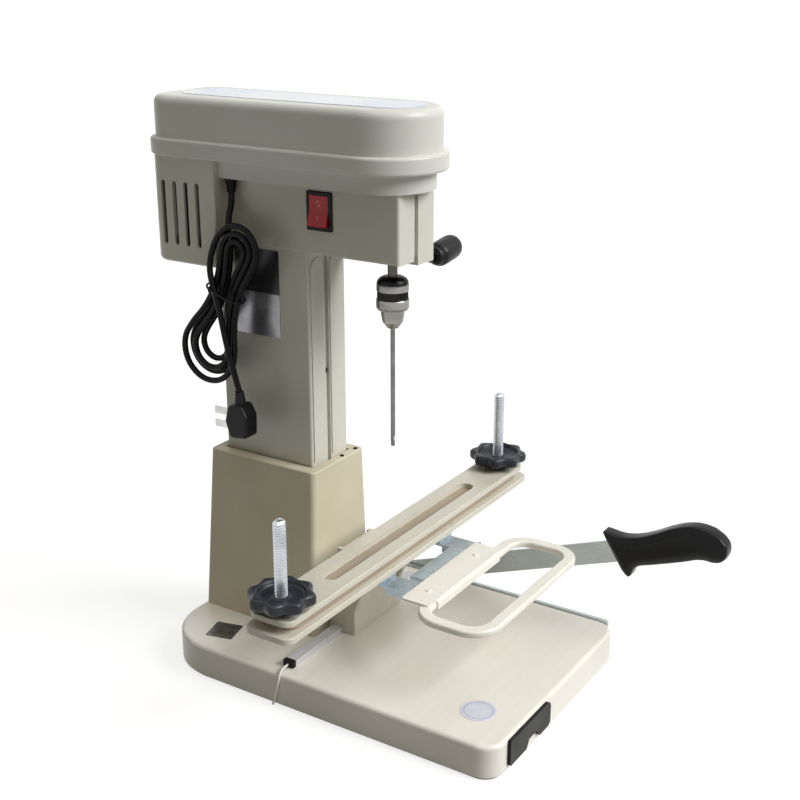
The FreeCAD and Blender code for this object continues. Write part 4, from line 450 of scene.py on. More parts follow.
def fill_edge_wear_and_highlight(graph: Graph, entry: Entry) -> Sockets:
    """Mask of the outer edges, broken up by noise, and the lighter colour put there, which is partly wear and partly a
    painted highlight along the edges.

    Args:
        graph: The group's nodes.
        entry: Gives one of the group's inputs by its name.

    Returns:
        The group's outputs by their names.
    """
    around = graph.add("Bevel", {"Radius": entry("Radius")}, samples=4).outputs[0]
    here = graph.add("NewGeometry").outputs["Normal"]
    along = graph.add("VectorMath", {0: around, 1: here}, operation="DOT_PRODUCT").outputs["Value"]
    edge = graph.spread(along, 0.97, 0.86)
    patch = graph.spread(graph.noise(entry("Vector"), 160.0, 3.0), 0.36, 0.6, 0.35, 1.0)
    mask = graph.maths("MULTIPLY", graph.maths("MULTIPLY", edge, patch), entry("Amount"))
    return {"Color": graph.blend(mask, entry("Colour"), entry("Edge")), "Mask": mask}


def fill_lines(graph: Graph, entry: Entry) -> Sockets:
    """Fine parallel lines, as of drawing, brushing or grain.

    Args:
        graph: The group's nodes.
        entry: Gives one of the group's inputs by its name.

    Returns:
        The group's outputs by their names.
    """
    drawn = graph.add("VectorMath", {0: entry("Vector"), 1: entry("Stretch")}, operation="MULTIPLY").outputs[0]
    fine = graph.noise(drawn, 1.0, 3.0)
    wide = graph.noise(drawn, 0.22, 2.0)
    both = graph.maths("ADD", graph.maths("MULTIPLY", fine, 0.6), graph.maths("MULTIPLY", wide, 0.4))
    return {"Mask": graph.spread(both, 0.34, 0.66)}


def fill_dust(graph: Graph, entry: Entry) -> Sockets:
    """Mask of a thin dust on what faces up.

    Args:
        graph: The group's nodes.
        entry: Gives one of the group's inputs by its name.

    Returns:
        The group's outputs by their names.
    """
    up = graph.add("SeparateXYZ", {0: graph.add("NewGeometry").outputs["Normal"]}).outputs["Z"]
    lying = graph.spread(up, 0.75, 0.98)
    specks = graph.spread(graph.noise(entry("Vector"), 90.0, 5.0), 0.45, 0.72)
    return {"Mask": graph.maths("MULTIPLY", graph.maths("MULTIPLY", lying, specks), entry("Amount"))}


TONE = SharedGroup("slow_tone", [("Vector", Socket.VECTOR), ("Colour", Socket.COLOUR), ("Shade", Socket.COLOUR),
                                 ("Spread", Socket.NUMBER)], [("Color", Socket.COLOUR)], fill_tone)
GLOSS = SharedGroup("handled_gloss", [("Vector", Socket.VECTOR), ("Low", Socket.NUMBER), ("High", Socket.NUMBER),
                                      ("Spread", Socket.NUMBER)], [("Roughness", Socket.NUMBER)], fill_gloss)
RELIEF = SharedGroup("fine_relief", [("Vector", Socket.VECTOR), ("Grain", Socket.NUMBER), ("Wave", Socket.NUMBER)],
                     [("Height", Socket.NUMBER)], fill_relief)
# Group that lightens outer edges, partly as wear and partly as a painted highlight.
EDGE_WEAR_AND_HIGHLIGHT = SharedGroup("edge_wear_and_highlight", [("Vector", Socket.VECTOR), ("Colour", Socket.COLOUR), ("Edge", Socket.COLOUR),
                                      ("Radius", Socket.NUMBER), ("Amount", Socket.NUMBER)],
                     [("Color", Socket.COLOUR), ("Mask", Socket.NUMBER)], fill_edge_wear_and_highlight)
LINES = SharedGroup("drawn_lines", [("Vector", Socket.VECTOR), ("Stretch", Socket.VECTOR)],
                    [("Mask", Socket.NUMBER)], fill_lines)
DUST = SharedGroup("settled_dust", [("Vector", Socket.VECTOR), ("Amount", Socket.NUMBER)],
                   [("Mask", Socket.NUMBER)], fill_dust)


# ---------------------------------------------------------------- finishes


@dataclass(frozen=True)
class Finish:
    """What every finish starts from: a name and one Principled shader."""

    name: str

    def start(self) -> tuple[bpy.types.Material, Graph, bpy.types.Node, bpy.types.NodeSocket]:
        """A new material, its nodes, its shader and the piece's own coordinates.

        Returns:
            The material, its nodes, its shader and the place on the piece.
        """
        material = bpy.data.materials.new(self.name)
        material.use_nodes = True
        graph = Graph(material.node_tree)
        shader = material.node_tree.nodes["Principled BSDF"]
        place = graph.add("TexCoord").outputs["Object"]
        return material, graph, shader, place

    def bump(self, graph: Graph, shader: bpy.types.Node, height: bpy.types.NodeSocket, depth: float,
             strength: float = 1.0) -> None:
        """Raises the surface by a height map.

        Args:
            graph: The material's nodes.
            shader: The material's shader.
            height: The height map.
            depth: Metres between a height of 0 and 1.
            strength: How much of the bump shows.
        """
        node = graph.add("Bump", {"Height": height, "Distance": depth, "Strength": strength})
        graph.tree.links.new(node.outputs[0], shader.inputs["Normal"])

    def build(self) -> bpy.types.Material:
        """Makes the material, in the way of each kind of finish."""
        raise NotImplementedError


@dataclass(frozen=True)
class CoatedFinish(Finish):
    """Moulded plastic or paint: drifting tone, edges lightened as wear and as painted highlight, dust, grain and a
    clear sheen.
    """

    colour: Colour
    shade: Colour
    edge: Colour
    rough: tuple[float, float] = (0.32, 0.46)
    edge_amount: float = 0.5
    edge_radius: float = 0.9 * MM
    grain: float = 1400.0
    wave: float = 60.0
    depth: float = 0.05 * MM
    dust: float = 0.12
    dust_and_sheen_colour: Colour = seen(206, 200, 188)
    coat: float = 0.15
    streaks: tuple[float, float, float] | None = None
    streak_colour: Colour = seen(196, 188, 170)
    streak_amount: float = 0.25
    side_share: float = 0.15
    specular: float = 0.5
    tone_spread: float = 14.0
    gloss_spread: float = 22.0
    top_from: tuple[float, float] = (0.6, 0.95)
    streak_relief: float = 0.5
    dust_roughness: float = 0.4
    coat_roughness: float = 0.2

    def build(self) -> bpy.types.Material:
        """Makes the material.

        Returns:
            The material.
        """
        material, graph, shader, place = self.start()
        colour = TONE.place(graph, {"Vector": place, "Colour": self.colour, "Shade": self.shade,
                                    "Spread": self.tone_spread}).outputs["Color"]
        height = RELIEF.place(graph, {"Vector": place, "Grain": self.grain, "Wave": self.wave}).outputs["Height"]
        if self.streaks is not None:
            mask = LINES.place(graph, {"Vector": place, "Stretch": self.streaks}).outputs["Mask"]
            up = graph.add("SeparateXYZ", {0: graph.add("NewGeometry").outputs["Normal"]}).outputs["Z"]
            on_top = graph.maths("MULTIPLY", mask, graph.spread(up, *self.top_from, self.side_share, 1.0))
            colour = graph.blend(graph.maths("MULTIPLY", on_top, self.streak_amount), colour, self.streak_colour)
            height = graph.maths("ADD", height, graph.maths("MULTIPLY", on_top, self.streak_relief))
        # Edges are lightened here: partly wear, partly a painted highlight.
        wear_and_highlight = EDGE_WEAR_AND_HIGHLIGHT.place(graph, {"Vector": place, "Colour": colour, "Edge": self.edge,
                                      "Radius": self.edge_radius, "Amount": self.edge_amount})
        dust = DUST.place(graph, {"Vector": place, "Amount": self.dust}).outputs["Mask"]
        dusty = graph.blend(dust, wear_and_highlight.outputs["Color"], self.dust_and_sheen_colour)
        gloss = GLOSS.place(graph, {"Vector": place, "Low": self.rough[0], "High": self.rough[1],
                                    "Spread": self.gloss_spread})
        worn = graph.maths("ADD", gloss.outputs["Roughness"], graph.maths("MULTIPLY", dust, self.dust_roughness))
        graph.tree.links.new(dusty, shader.inputs["Base Color"])
        graph.tree.links.new(worn, shader.inputs["Roughness"])
        shader.inputs["Coat Weight"].default_value = self.coat
        shader.inputs["Coat Roughness"].default_value = self.coat_roughness
        shader.inputs["Specular IOR Level"].default_value = self.specular
        self.bump(graph, shader, height, self.depth)
        return material


@dataclass(frozen=True)
class MetalFinish(Finish):
    """Bare or plated metal: brushed lines or cloudy plating, stains, and bright edges that are partly wear and partly
    painted highlight.
    """

    colour: Colour
    shade: Colour
    rough: tuple[float, float] = (0.2, 0.36)
    stretch: tuple[float, float, float] = (40.0, 1200.0, 1200.0)
    line_amount: float = 0.35
    cloud: float = 26.0
    depth: float = 0.012 * MM
    edge_amount: float = 0.6
    edge: Colour = seen(235, 236, 238)
    metallic: float = 1.0
    edge_radius: float = 0.4 * MM
    gloss_spread: float = 70.0
    line_roughness: float = 0.08
    bump_strength: float = 0.6

    def build(self) -> bpy.types.Material:
        """Makes the material.

        Returns:
            The material.
        """
        material, graph, shader, place = self.start()
        lines = LINES.place(graph, {"Vector": place, "Stretch": self.stretch}).outputs["Mask"]
        cloudy = TONE.place(graph, {"Vector": place, "Colour": self.colour, "Shade": self.shade,
                                    "Spread": self.cloud}).outputs["Color"]
        lined = graph.blend(graph.maths("MULTIPLY", lines, self.line_amount), cloudy, self.shade)
        # Edges are lightened here: partly wear, partly a painted highlight.
        wear_and_highlight = EDGE_WEAR_AND_HIGHLIGHT.place(graph, {"Vector": place, "Colour": lined, "Edge": self.edge,
                                      "Radius": self.edge_radius, "Amount": self.edge_amount})
        gloss = GLOSS.place(graph, {"Vector": place, "Low": self.rough[0], "High": self.rough[1],
                                    "Spread": self.gloss_spread})
        rough = graph.maths("ADD", gloss.outputs["Roughness"], graph.maths("MULTIPLY", lines, self.line_roughness))
        graph.tree.links.new(wear_and_highlight.outputs["Color"], shader.inputs["Base Color"])
        graph.tree.links.new(rough, shader.inputs["Roughness"])
        shader.inputs["Metallic"].default_value = self.metallic
        self.bump(graph, shader, lines, self.depth, self.bump_strength)
        return material


@dataclass(frozen=True)
class OvalLabelFinish(Finish):
    """Pale printed film with a soft sky-blue wash that is strongest near its ends."""

    colour: Colour
    wash: Colour
    middle_y: float
    half_length: float
    wash_from: float = 0.25
    wash_most: float = 0.75
    drift_spread: float = 22.0
    drift_range: tuple[float, float] = (0.42, 0.6)
    rough: tuple[float, float] = (0.14, 0.3)
    coat: float = 0.5
    depth: float = 0.04 * MM

    def build(self) -> bpy.types.Material:
        """Makes the material.

        Returns:
            The material.
        """
        material, graph, shader, place = self.start()
        y = graph.add("SeparateXYZ", {0: place}).outputs["Y"]
        from_middle = graph.maths("ABSOLUTE", graph.maths("SUBTRACT", y, self.middle_y))
        near_end = graph.spread(from_middle, self.half_length * self.wash_from, self.half_length)
        drift = graph.spread(graph.noise(place, self.drift_spread, 4.0), *self.drift_range)
        mask = graph.maths("MULTIPLY", graph.maths("MULTIPLY", near_end, drift), self.wash_most)
        graph.tree.links.new(graph.blend(mask, self.colour, self.wash), shader.inputs["Base Color"])
        gloss = GLOSS.place(graph, {"Vector": place, "Low": self.rough[0], "High": self.rough[1], "Spread": 30.0})
        graph.tree.links.new(gloss.outputs["Roughness"], shader.inputs["Roughness"])
        shader.inputs["Coat Weight"].default_value = self.coat
        height = RELIEF.place(graph, {"Vector": place, "Grain": 900.0, "Wave": 45.0}).outputs["Height"]
        self.bump(graph, shader, height, self.depth)
        return material


@dataclass(frozen=True)
class PlateFinish(Finish):
    """Bare rating foil: dark above and brushed silver below, with no lettering."""

    band: Colour
    silver: Colour
    border_z: float
    border_blur: float = 0.3 * MM
    line_colour: Colour = seen(112, 113, 118)
    line_amount: float = 0.3
    cloud_colour: Colour = seen(134, 134, 140)
    metallic: tuple[float, float] = (0.7, 0.1)
    rough: tuple[float, float] = (0.18, 0.34)
    depth: float = 0.05 * MM

    def build(self) -> bpy.types.Material:
        """Makes the material.

        Returns:
            The material.
        """
        material, graph, shader, place = self.start()
        z = graph.add("SeparateXYZ", {0: place}).outputs["Z"]
        above = graph.spread(z, self.border_z - self.border_blur, self.border_z + self.border_blur)
        lines = LINES.place(graph, {"Vector": place, "Stretch": (60.0, 60.0, 900.0)}).outputs["Mask"]
        foil = graph.blend(graph.maths("MULTIPLY", lines, self.line_amount), self.silver, self.line_colour)
        cloudy = TONE.place(graph, {"Vector": place, "Colour": foil, "Shade": self.cloud_colour, "Spread": 60.0})
        graph.tree.links.new(graph.blend(above, cloudy.outputs["Color"], self.band), shader.inputs["Base Color"])
        graph.tree.links.new(graph.spread(above, 0.0, 1.0, *self.metallic), shader.inputs["Metallic"])
        gloss = GLOSS.place(graph, {"Vector": place, "Low": self.rough[0], "High": self.rough[1], "Spread": 40.0})
        graph.tree.links.new(gloss.outputs["Roughness"], shader.inputs["Roughness"])
        height = RELIEF.place(graph, {"Vector": place, "Grain": 1200.0, "Wave": 50.0}).outputs["Height"]
        self.bump(graph, shader, height, self.depth)
        return material


@dataclass(frozen=True)
class StickerFinish(Finish):
    """Two plain stickers told apart by where they lie: a dark foil one behind, a pale round one in front."""

    foil: Colour
    paper: Colour
    ring: Colour
    border_y: float
    round_middle: tuple[float, float]
    ring_radius: float
    ring_edge: tuple[float, float] = (0.9 * MM, 0.5 * MM)
    ring_amount: float = 0.55
    paper_shade: Colour = seen(206, 208, 222)
    foil_shade: Colour = seen(122, 122, 118)
    foil_metallic: float = 0.85
    rough: tuple[float, float] = (0.2, 0.42)
    depth: float = 0.03 * MM

    def build(self) -> bpy.types.Material:
        """Makes the material.

        Returns:
            The material.
        """
        material, graph, shader, place = self.start()
        parts = graph.add("SeparateXYZ", {0: place})
        x, y = parts.outputs["X"], parts.outputs["Y"]
        behind = graph.maths("GREATER_THAN", y, self.border_y)
        dx = graph.maths("SUBTRACT", x, self.round_middle[0])
        dy = graph.maths("SUBTRACT", y, self.round_middle[1])
        away = graph.maths("SQRT", graph.maths("ADD", graph.maths("MULTIPLY", dx, dx), graph.maths("MULTIPLY", dy, dy)))
        line = graph.spread(graph.maths("ABSOLUTE", graph.maths("SUBTRACT", away, self.ring_radius)),
                            *self.ring_edge)
        paper = TONE.place(graph, {"Vector": place, "Colour": self.paper, "Shade": self.paper_shade,
                                   "Spread": 120.0}).outputs["Color"]
        foil = TONE.place(graph, {"Vector": place, "Colour": self.foil, "Shade": self.foil_shade,
                                  "Spread": 160.0}).outputs["Color"]
        printed = graph.blend(graph.maths("MULTIPLY", line, self.ring_amount), paper, self.ring)
        graph.tree.links.new(graph.blend(behind, printed, foil), shader.inputs["Base Color"])
        graph.tree.links.new(graph.maths("MULTIPLY", behind, self.foil_metallic), shader.inputs["Metallic"])
        gloss = GLOSS.place(graph, {"Vector": place, "Low": self.rough[0], "High": self.rough[1], "Spread": 90.0})
        graph.tree.links.new(gloss.outputs["Roughness"], shader.inputs["Roughness"])
        height = RELIEF.place(graph, {"Vector": place, "Grain": 1500.0, "Wave": 120.0}).outputs["Height"]
        self.bump(graph, shader, height, self.depth)
        return material


class Look(Enum):
    """The finishes that the machine's pieces have."""

    SHELL = "shell_plastic"
    LID = "lid_plastic"
    COVER = "cover_paint"
    BOARD = "board_laminate"
    BAR = "bar_paint"
    BED = "bed_board"
    SHAFT = "spindle_steel"
    HANDLE = "handle_paint"
    ZINC = "zinc_plate"
    STUD = "zinc_thread"
    STEEL = "blade_steel"
    RAIL = "drawn_rail"
    CHUCK = "ground_chuck"
    CHUCK_DARK = "blued_chuck"
    BIT = "bit_steel"
    PINS = "nickel_pins"
    BLACK = "black_moulding"
    KNOB = "knob_moulding"
    GRIP = "grip_moulding"
    BARREL = "barrel_moulding"
    PLUG = "plug_moulding"
    DRAWER = "drawer_moulding"
    CORD = "cord_sheath"
    ROCKER = "rocker_red"
    MARK = "mark_white"
    PAD = "pad_rubber"
    BELT = "belt_rubber"
    NYLON = "nylon"
    THREAD = "white_thread"
    MOTOR = "motor_steel"
    PLATE = "rating_foil"
    LABEL = "top_film"
    STICKERS = "base_stickers"


class Finishes:
    """Every finish of the machine, made when it is first asked for."""

    round_radius: float = 14.5 * MM
    round_left: float = 65.0 * MM
    ring_radius: float = 11.6 * MM

    def __init__(self, oval: tuple[Vector, Vector], stickers: tuple[Vector, Vector], axis: Vector,
                 plate_border: float) -> None:
        """Takes the places that the labels' patterns need.

        Args:
            oval: Lowest and highest corner of the oval label.
            stickers: Lowest and highest corner of the two stickers on the base.
            axis: Where the drill's axis meets the table.
            plate_border: Height at which the rating plate's dark band ends.
        """
        middle = (oval[0].y + oval[1].y) / 2
        round_middle = (axis.x - self.round_left, stickers[0].y + self.round_radius)
        self.made: dict[Look, bpy.types.Material] = {}
        self.book: dict[Look, Finish] = {
            Look.SHELL: CoatedFinish("shell_plastic", seen(213, 212, 202), seen(206, 205, 194), seen(230, 229, 222),
                                     rough=(0.3, 0.42), grain=1800.0, depth=0.03 * MM, dust=0.02, coat=0.04,
                                     specular=0.35, edge_amount=0.4),
            Look.LID: CoatedFinish("lid_plastic", seen(218, 218, 213), seen(212, 212, 205), seen(236, 236, 234),
                                   rough=(0.28, 0.4), grain=1500.0, depth=0.03 * MM, dust=0.02, coat=0.04,
                                   specular=0.35),
            Look.COVER: CoatedFinish("cover_paint", seen(209, 201, 179), seen(201, 192, 168), seen(228, 222, 206),
                                     rough=(0.36, 0.5), grain=1300.0, depth=0.06 * MM, dust=0.04, coat=0.0,
                                     specular=0.35),
            Look.BOARD: CoatedFinish("board_laminate", seen(240, 236, 228), seen(235, 230, 220), seen(248, 246, 240),
                                     rough=(0.28, 0.42), grain=700.0, depth=0.04 * MM, dust=0.03, coat=0.08,
                                     streaks=(9.0, 260.0, 9.0), streak_amount=0.2, specular=0.4,
                                     streak_colour=seen(214, 207, 194)),
            Look.BAR: CoatedFinish("bar_paint", seen(210, 206, 194), seen(201, 197, 183), seen(230, 227, 219),
                                   rough=(0.24, 0.38), grain=1100.0, depth=0.04 * MM, coat=0.15, dust=0.02,
                                   specular=0.4),
            # The bed's darker tan is partly its own colour and partly painted shade, so that it reads as the shaded
            # floor of the upper bar's slot.
            Look.BED: CoatedFinish("bed_board", seen(172, 158, 138), seen(154, 140, 122), seen(196, 184, 166),
                                   rough=(0.4, 0.55), grain=900.0, depth=0.08 * MM, coat=0.0, dust=0.05,
                                   streaks=(30.0, 500.0, 30.0), streak_colour=seen(130, 114, 98)),
            Look.HANDLE: CoatedFinish("handle_paint", seen(240, 237, 228), seen(234, 231, 220), seen(248, 247, 243),
                                      rough=(0.2, 0.34), grain=900.0, depth=0.03 * MM, coat=0.25, dust=0.01,
                                      specular=0.4),
            Look.ZINC: MetalFinish("zinc_plate", seen(200, 210, 216), seen(172, 188, 198), rough=(0.2, 0.34),
                                   stretch=(900.0, 60.0, 900.0), line_amount=0.2, cloud=40.0, metallic=0.5,
                                   edge=seen(238, 242, 244), edge_amount=0.5),
            Look.STUD: MetalFinish("zinc_thread", seen(222, 226, 230), seen(190, 196, 202), rough=(0.16, 0.28),
                                   stretch=(300.0, 300.0, 1500.0), line_amount=0.2, cloud=60.0, metallic=0.9),
            Look.STEEL: MetalFinish("blade_steel", seen(206, 214, 214), seen(184, 194, 196), rough=(0.24, 0.36),
                                    stretch=(1500.0, 30.0, 1500.0), line_amount=0.3, cloud=18.0, metallic=0.6,
                                    edge=seen(214, 220, 222), edge_amount=0.25),
            Look.RAIL: CoatedFinish("drawn_rail", seen(212, 212, 216), seen(200, 200, 204), seen(234, 234, 238),
                                    rough=(0.24, 0.38), grain=600.0, depth=0.03 * MM, coat=0.2, dust=0.02,
                                    streaks=(8.0, 700.0, 700.0), streak_colour=seen(160, 160, 166),
                                    side_share=0.8),
            Look.CHUCK: MetalFinish("ground_chuck", seen(176, 174, 170), seen(104, 102, 100), rough=(0.2, 0.32),
                                    stretch=(60.0, 60.0, 2200.0), line_amount=0.4, cloud=30.0),
            Look.CHUCK_DARK: MetalFinish("blued_chuck", seen(40, 39, 40), seen(24, 23, 24), rough=(0.2, 0.32),
                                         stretch=(60.0, 60.0, 1800.0), line_amount=0.3, cloud=40.0,
                                         edge=seen(120, 118, 116), edge_amount=0.4),
            Look.SHAFT: MetalFinish("spindle_steel", seen(96, 94, 90), seen(70, 68, 66), rough=(0.24, 0.36),
                                    stretch=(60.0, 60.0, 1800.0), line_amount=0.4, cloud=40.0),
            Look.BIT: MetalFinish("bit_steel", seen(150, 148, 150), seen(80, 79, 82), rough=(0.18, 0.3),
                                  stretch=(900.0, 900.0, 40.0), line_amount=0.4, cloud=40.0),
            Look.PINS: MetalFinish("nickel_pins", seen(232, 232, 230), seen(206, 206, 204), rough=(0.14, 0.24),
                                   stretch=(300.0, 300.0, 60.0), line_amount=0.15, cloud=90.0, metallic=0.75),
            Look.BLACK: CoatedFinish("black_moulding", seen(16, 16, 18), seen(11, 11, 13), seen(48, 48, 54),
                                     rough=(0.28, 0.42), grain=1600.0, depth=0.05 * MM, dust=0.02,
                                     dust_and_sheen_colour=seen(60, 60, 62), edge_amount=0.3, coat=0.0, specular=0.15),
            Look.KNOB: CoatedFinish("knob_moulding", seen(40, 43, 52), seen(31, 34, 42), seen(84, 88, 102),
                                    rough=(0.26, 0.4), grain=1200.0, depth=0.06 * MM, dust=0.04,
                                    dust_and_sheen_colour=seen(72, 74, 82), edge_amount=0.35, coat=0.0, specular=0.3),
            Look.GRIP: CoatedFinish("grip_moulding", seen(9, 9, 10), seen(6, 6, 7), seen(30, 30, 34),
                                    rough=(0.2, 0.32), grain=1400.0, depth=0.04 * MM, dust=0.01,
                                    dust_and_sheen_colour=seen(50, 50, 52), edge_amount=0.2, coat=0.0, specular=0.2),
            Look.BARREL: CoatedFinish("barrel_moulding", seen(15, 15, 16), seen(10, 10, 11), seen(44, 44, 48),
                                      rough=(0.34, 0.48), grain=620.0, wave=300.0, depth=0.4 * MM, dust=0.02,
                                      dust_and_sheen_colour=seen(60, 60, 62), edge_amount=0.2, coat=0.0, specular=0.25),
            # On the plug, the bluish colour put on its upward faces and edges is partly a painted bluish highlight on
            # its upper face, besides dust and wear.
            Look.PLUG: CoatedFinish("plug_moulding", seen(14, 15, 18), seen(10, 11, 13), seen(56, 58, 66),
                                    rough=(0.22, 0.34), grain=1600.0, depth=0.04 * MM, dust=0.04,
                                    dust_and_sheen_colour=seen(70, 74, 86), edge_amount=0.45, coat=0.0, specular=0.2),
            Look.DRAWER: CoatedFinish("drawer_moulding", seen(16, 16, 16), seen(11, 11, 11), seen(58, 56, 56),
                                      rough=(0.32, 0.48), grain=1500.0, depth=0.08 * MM, dust=0.04,
                                      dust_and_sheen_colour=seen(70, 68, 66), edge_amount=0.4, coat=0.0, specular=0.18),
            Look.CORD: CoatedFinish("cord_sheath", seen(9, 9, 10), seen(6, 6, 7), seen(26, 26, 28),
                                    rough=(0.24, 0.4), grain=2200.0, depth=0.03 * MM, dust=0.02,
                                    dust_and_sheen_colour=seen(50, 50, 52), edge_amount=0.1, coat=0.0, specular=0.12),
            # The rocker's pale edge colour is strong here: it is partly a painted highlight along its rims and partly
            # wear.
            Look.ROCKER: CoatedFinish("rocker_red", seen(224, 10, 10), seen(190, 4, 6), seen(250, 84, 66),
                                      rough=(0.16, 0.24), grain=900.0, depth=0.02 * MM, dust=0.0,
                                      edge_amount=0.6, edge_radius=0.6 * MM, coat=0.1, specular=0.3),
            Look.MARK: CoatedFinish("mark_white", seen(246, 196, 182), seen(238, 184, 170), seen(250, 214, 204),
                                    rough=(0.3, 0.4), dust=0.0, coat=0.0, specular=0.3),
            Look.PAD: CoatedFinish("pad_rubber", seen(44, 43, 42), seen(34, 33, 32), seen(84, 82, 80),
                                   rough=(0.6, 0.8), grain=900.0, depth=0.15 * MM, dust=0.15,
                                   dust_and_sheen_colour=seen(110, 106, 100), coat=0.0, specular=0.25),
            Look.BELT: CoatedFinish("belt_rubber", seen(34, 33, 33), seen(26, 25, 25), seen(70, 68, 66),
                                    rough=(0.5, 0.7), grain=1200.0, depth=0.1 * MM, dust=0.1,
                                    dust_and_sheen_colour=seen(96, 92, 88), coat=0.0, specular=0.25),
            Look.NYLON: CoatedFinish("nylon", seen(232, 229, 216), seen(224, 220, 206), seen(244, 242, 234),
                                     rough=(0.4, 0.52), grain=900.0, depth=0.05 * MM, coat=0.0),
            Look.THREAD: CoatedFinish("white_thread", seen(240, 240, 236), seen(226, 225, 220), seen(250, 250, 248),
                                      rough=(0.5, 0.65), grain=2600.0, depth=0.12 * MM, coat=0.0, dust=0.0),
            Look.MOTOR: MetalFinish("motor_steel", seen(96, 96, 98), seen(62, 62, 64), rough=(0.32, 0.5),
                                    stretch=(60.0, 60.0, 1800.0), line_amount=0.5, cloud=40.0),
            Look.PLATE: PlateFinish("rating_foil", seen(46, 46, 50), seen(168, 168, 174), plate_border),
            Look.LABEL: OvalLabelFinish("top_film", seen(214, 220, 229), seen(140, 182, 220), middle,
                                        (oval[1].y - oval[0].y) / 2),
            Look.STICKERS: StickerFinish("base_stickers", seen(86, 87, 86), seen(220, 221, 232), seen(150, 156, 190),
                                         axis.y, round_middle, self.ring_radius),
        }

    def get(self, look: Look) -> bpy.types.Material:
        """The material of a look."""
        if look not in self.made:
            self.made[look] = self.book[look].build()
        return self.made[look]


# ---------------------------------------------------------------- the bench that all pieces share


@dataclass
class Bench:
    """The frame, the finishes, and what has been dressed so far."""

    nodes: dict[str, bpy.types.Object]
    finishes: Finishes
    axis: Vector
    dressed: set[str] = field(default_factory=set)

    def from_axis(self, x: float, y: float, z: float) -> Vector:
        """A place given in millimetres from the drill's axis, in the frame."""
        return self.axis + Vector((x, y, z)) * MM

    def dress(self, look: Look, *names: str) -> None:
        """Gives CAD nodes a finish.

        Args:
            look: The finish.
            *names: The nodes that get it.
        """
        for name in names:
            node = self.nodes[name]
            if not node.material_slots:
                node.data.materials.append(self.finishes.get(look))
            for slot in node.material_slots:
                slot.material = self.finishes.get(look)
            self.dressed.add(name)

    def add(self, piece: bpy.types.Object, look: Look, body: str, slot: str, replaced: Iterable[str] = ()) -> None:
        """Finishes a new piece and lets it ride.

        Args:
            piece: The new piece, settled.
            look: Its finish, for the faces that have none of their own.
            body: The CAD body that it moves with.
            slot: The record's material slot; not used.
            replaced: The CAD nodes that it stands for.
        """
        put_tools_down()
        if not piece.data.materials:
            piece.data.materials.append(self.finishes.get(look))
        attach(piece, body)
        names = list(replaced)
        if names:
            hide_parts(*names)
            self.dressed.update(names)
        log.info("%s rides on %s", piece.name, body)


# ---------------------------------------------------------------- studio


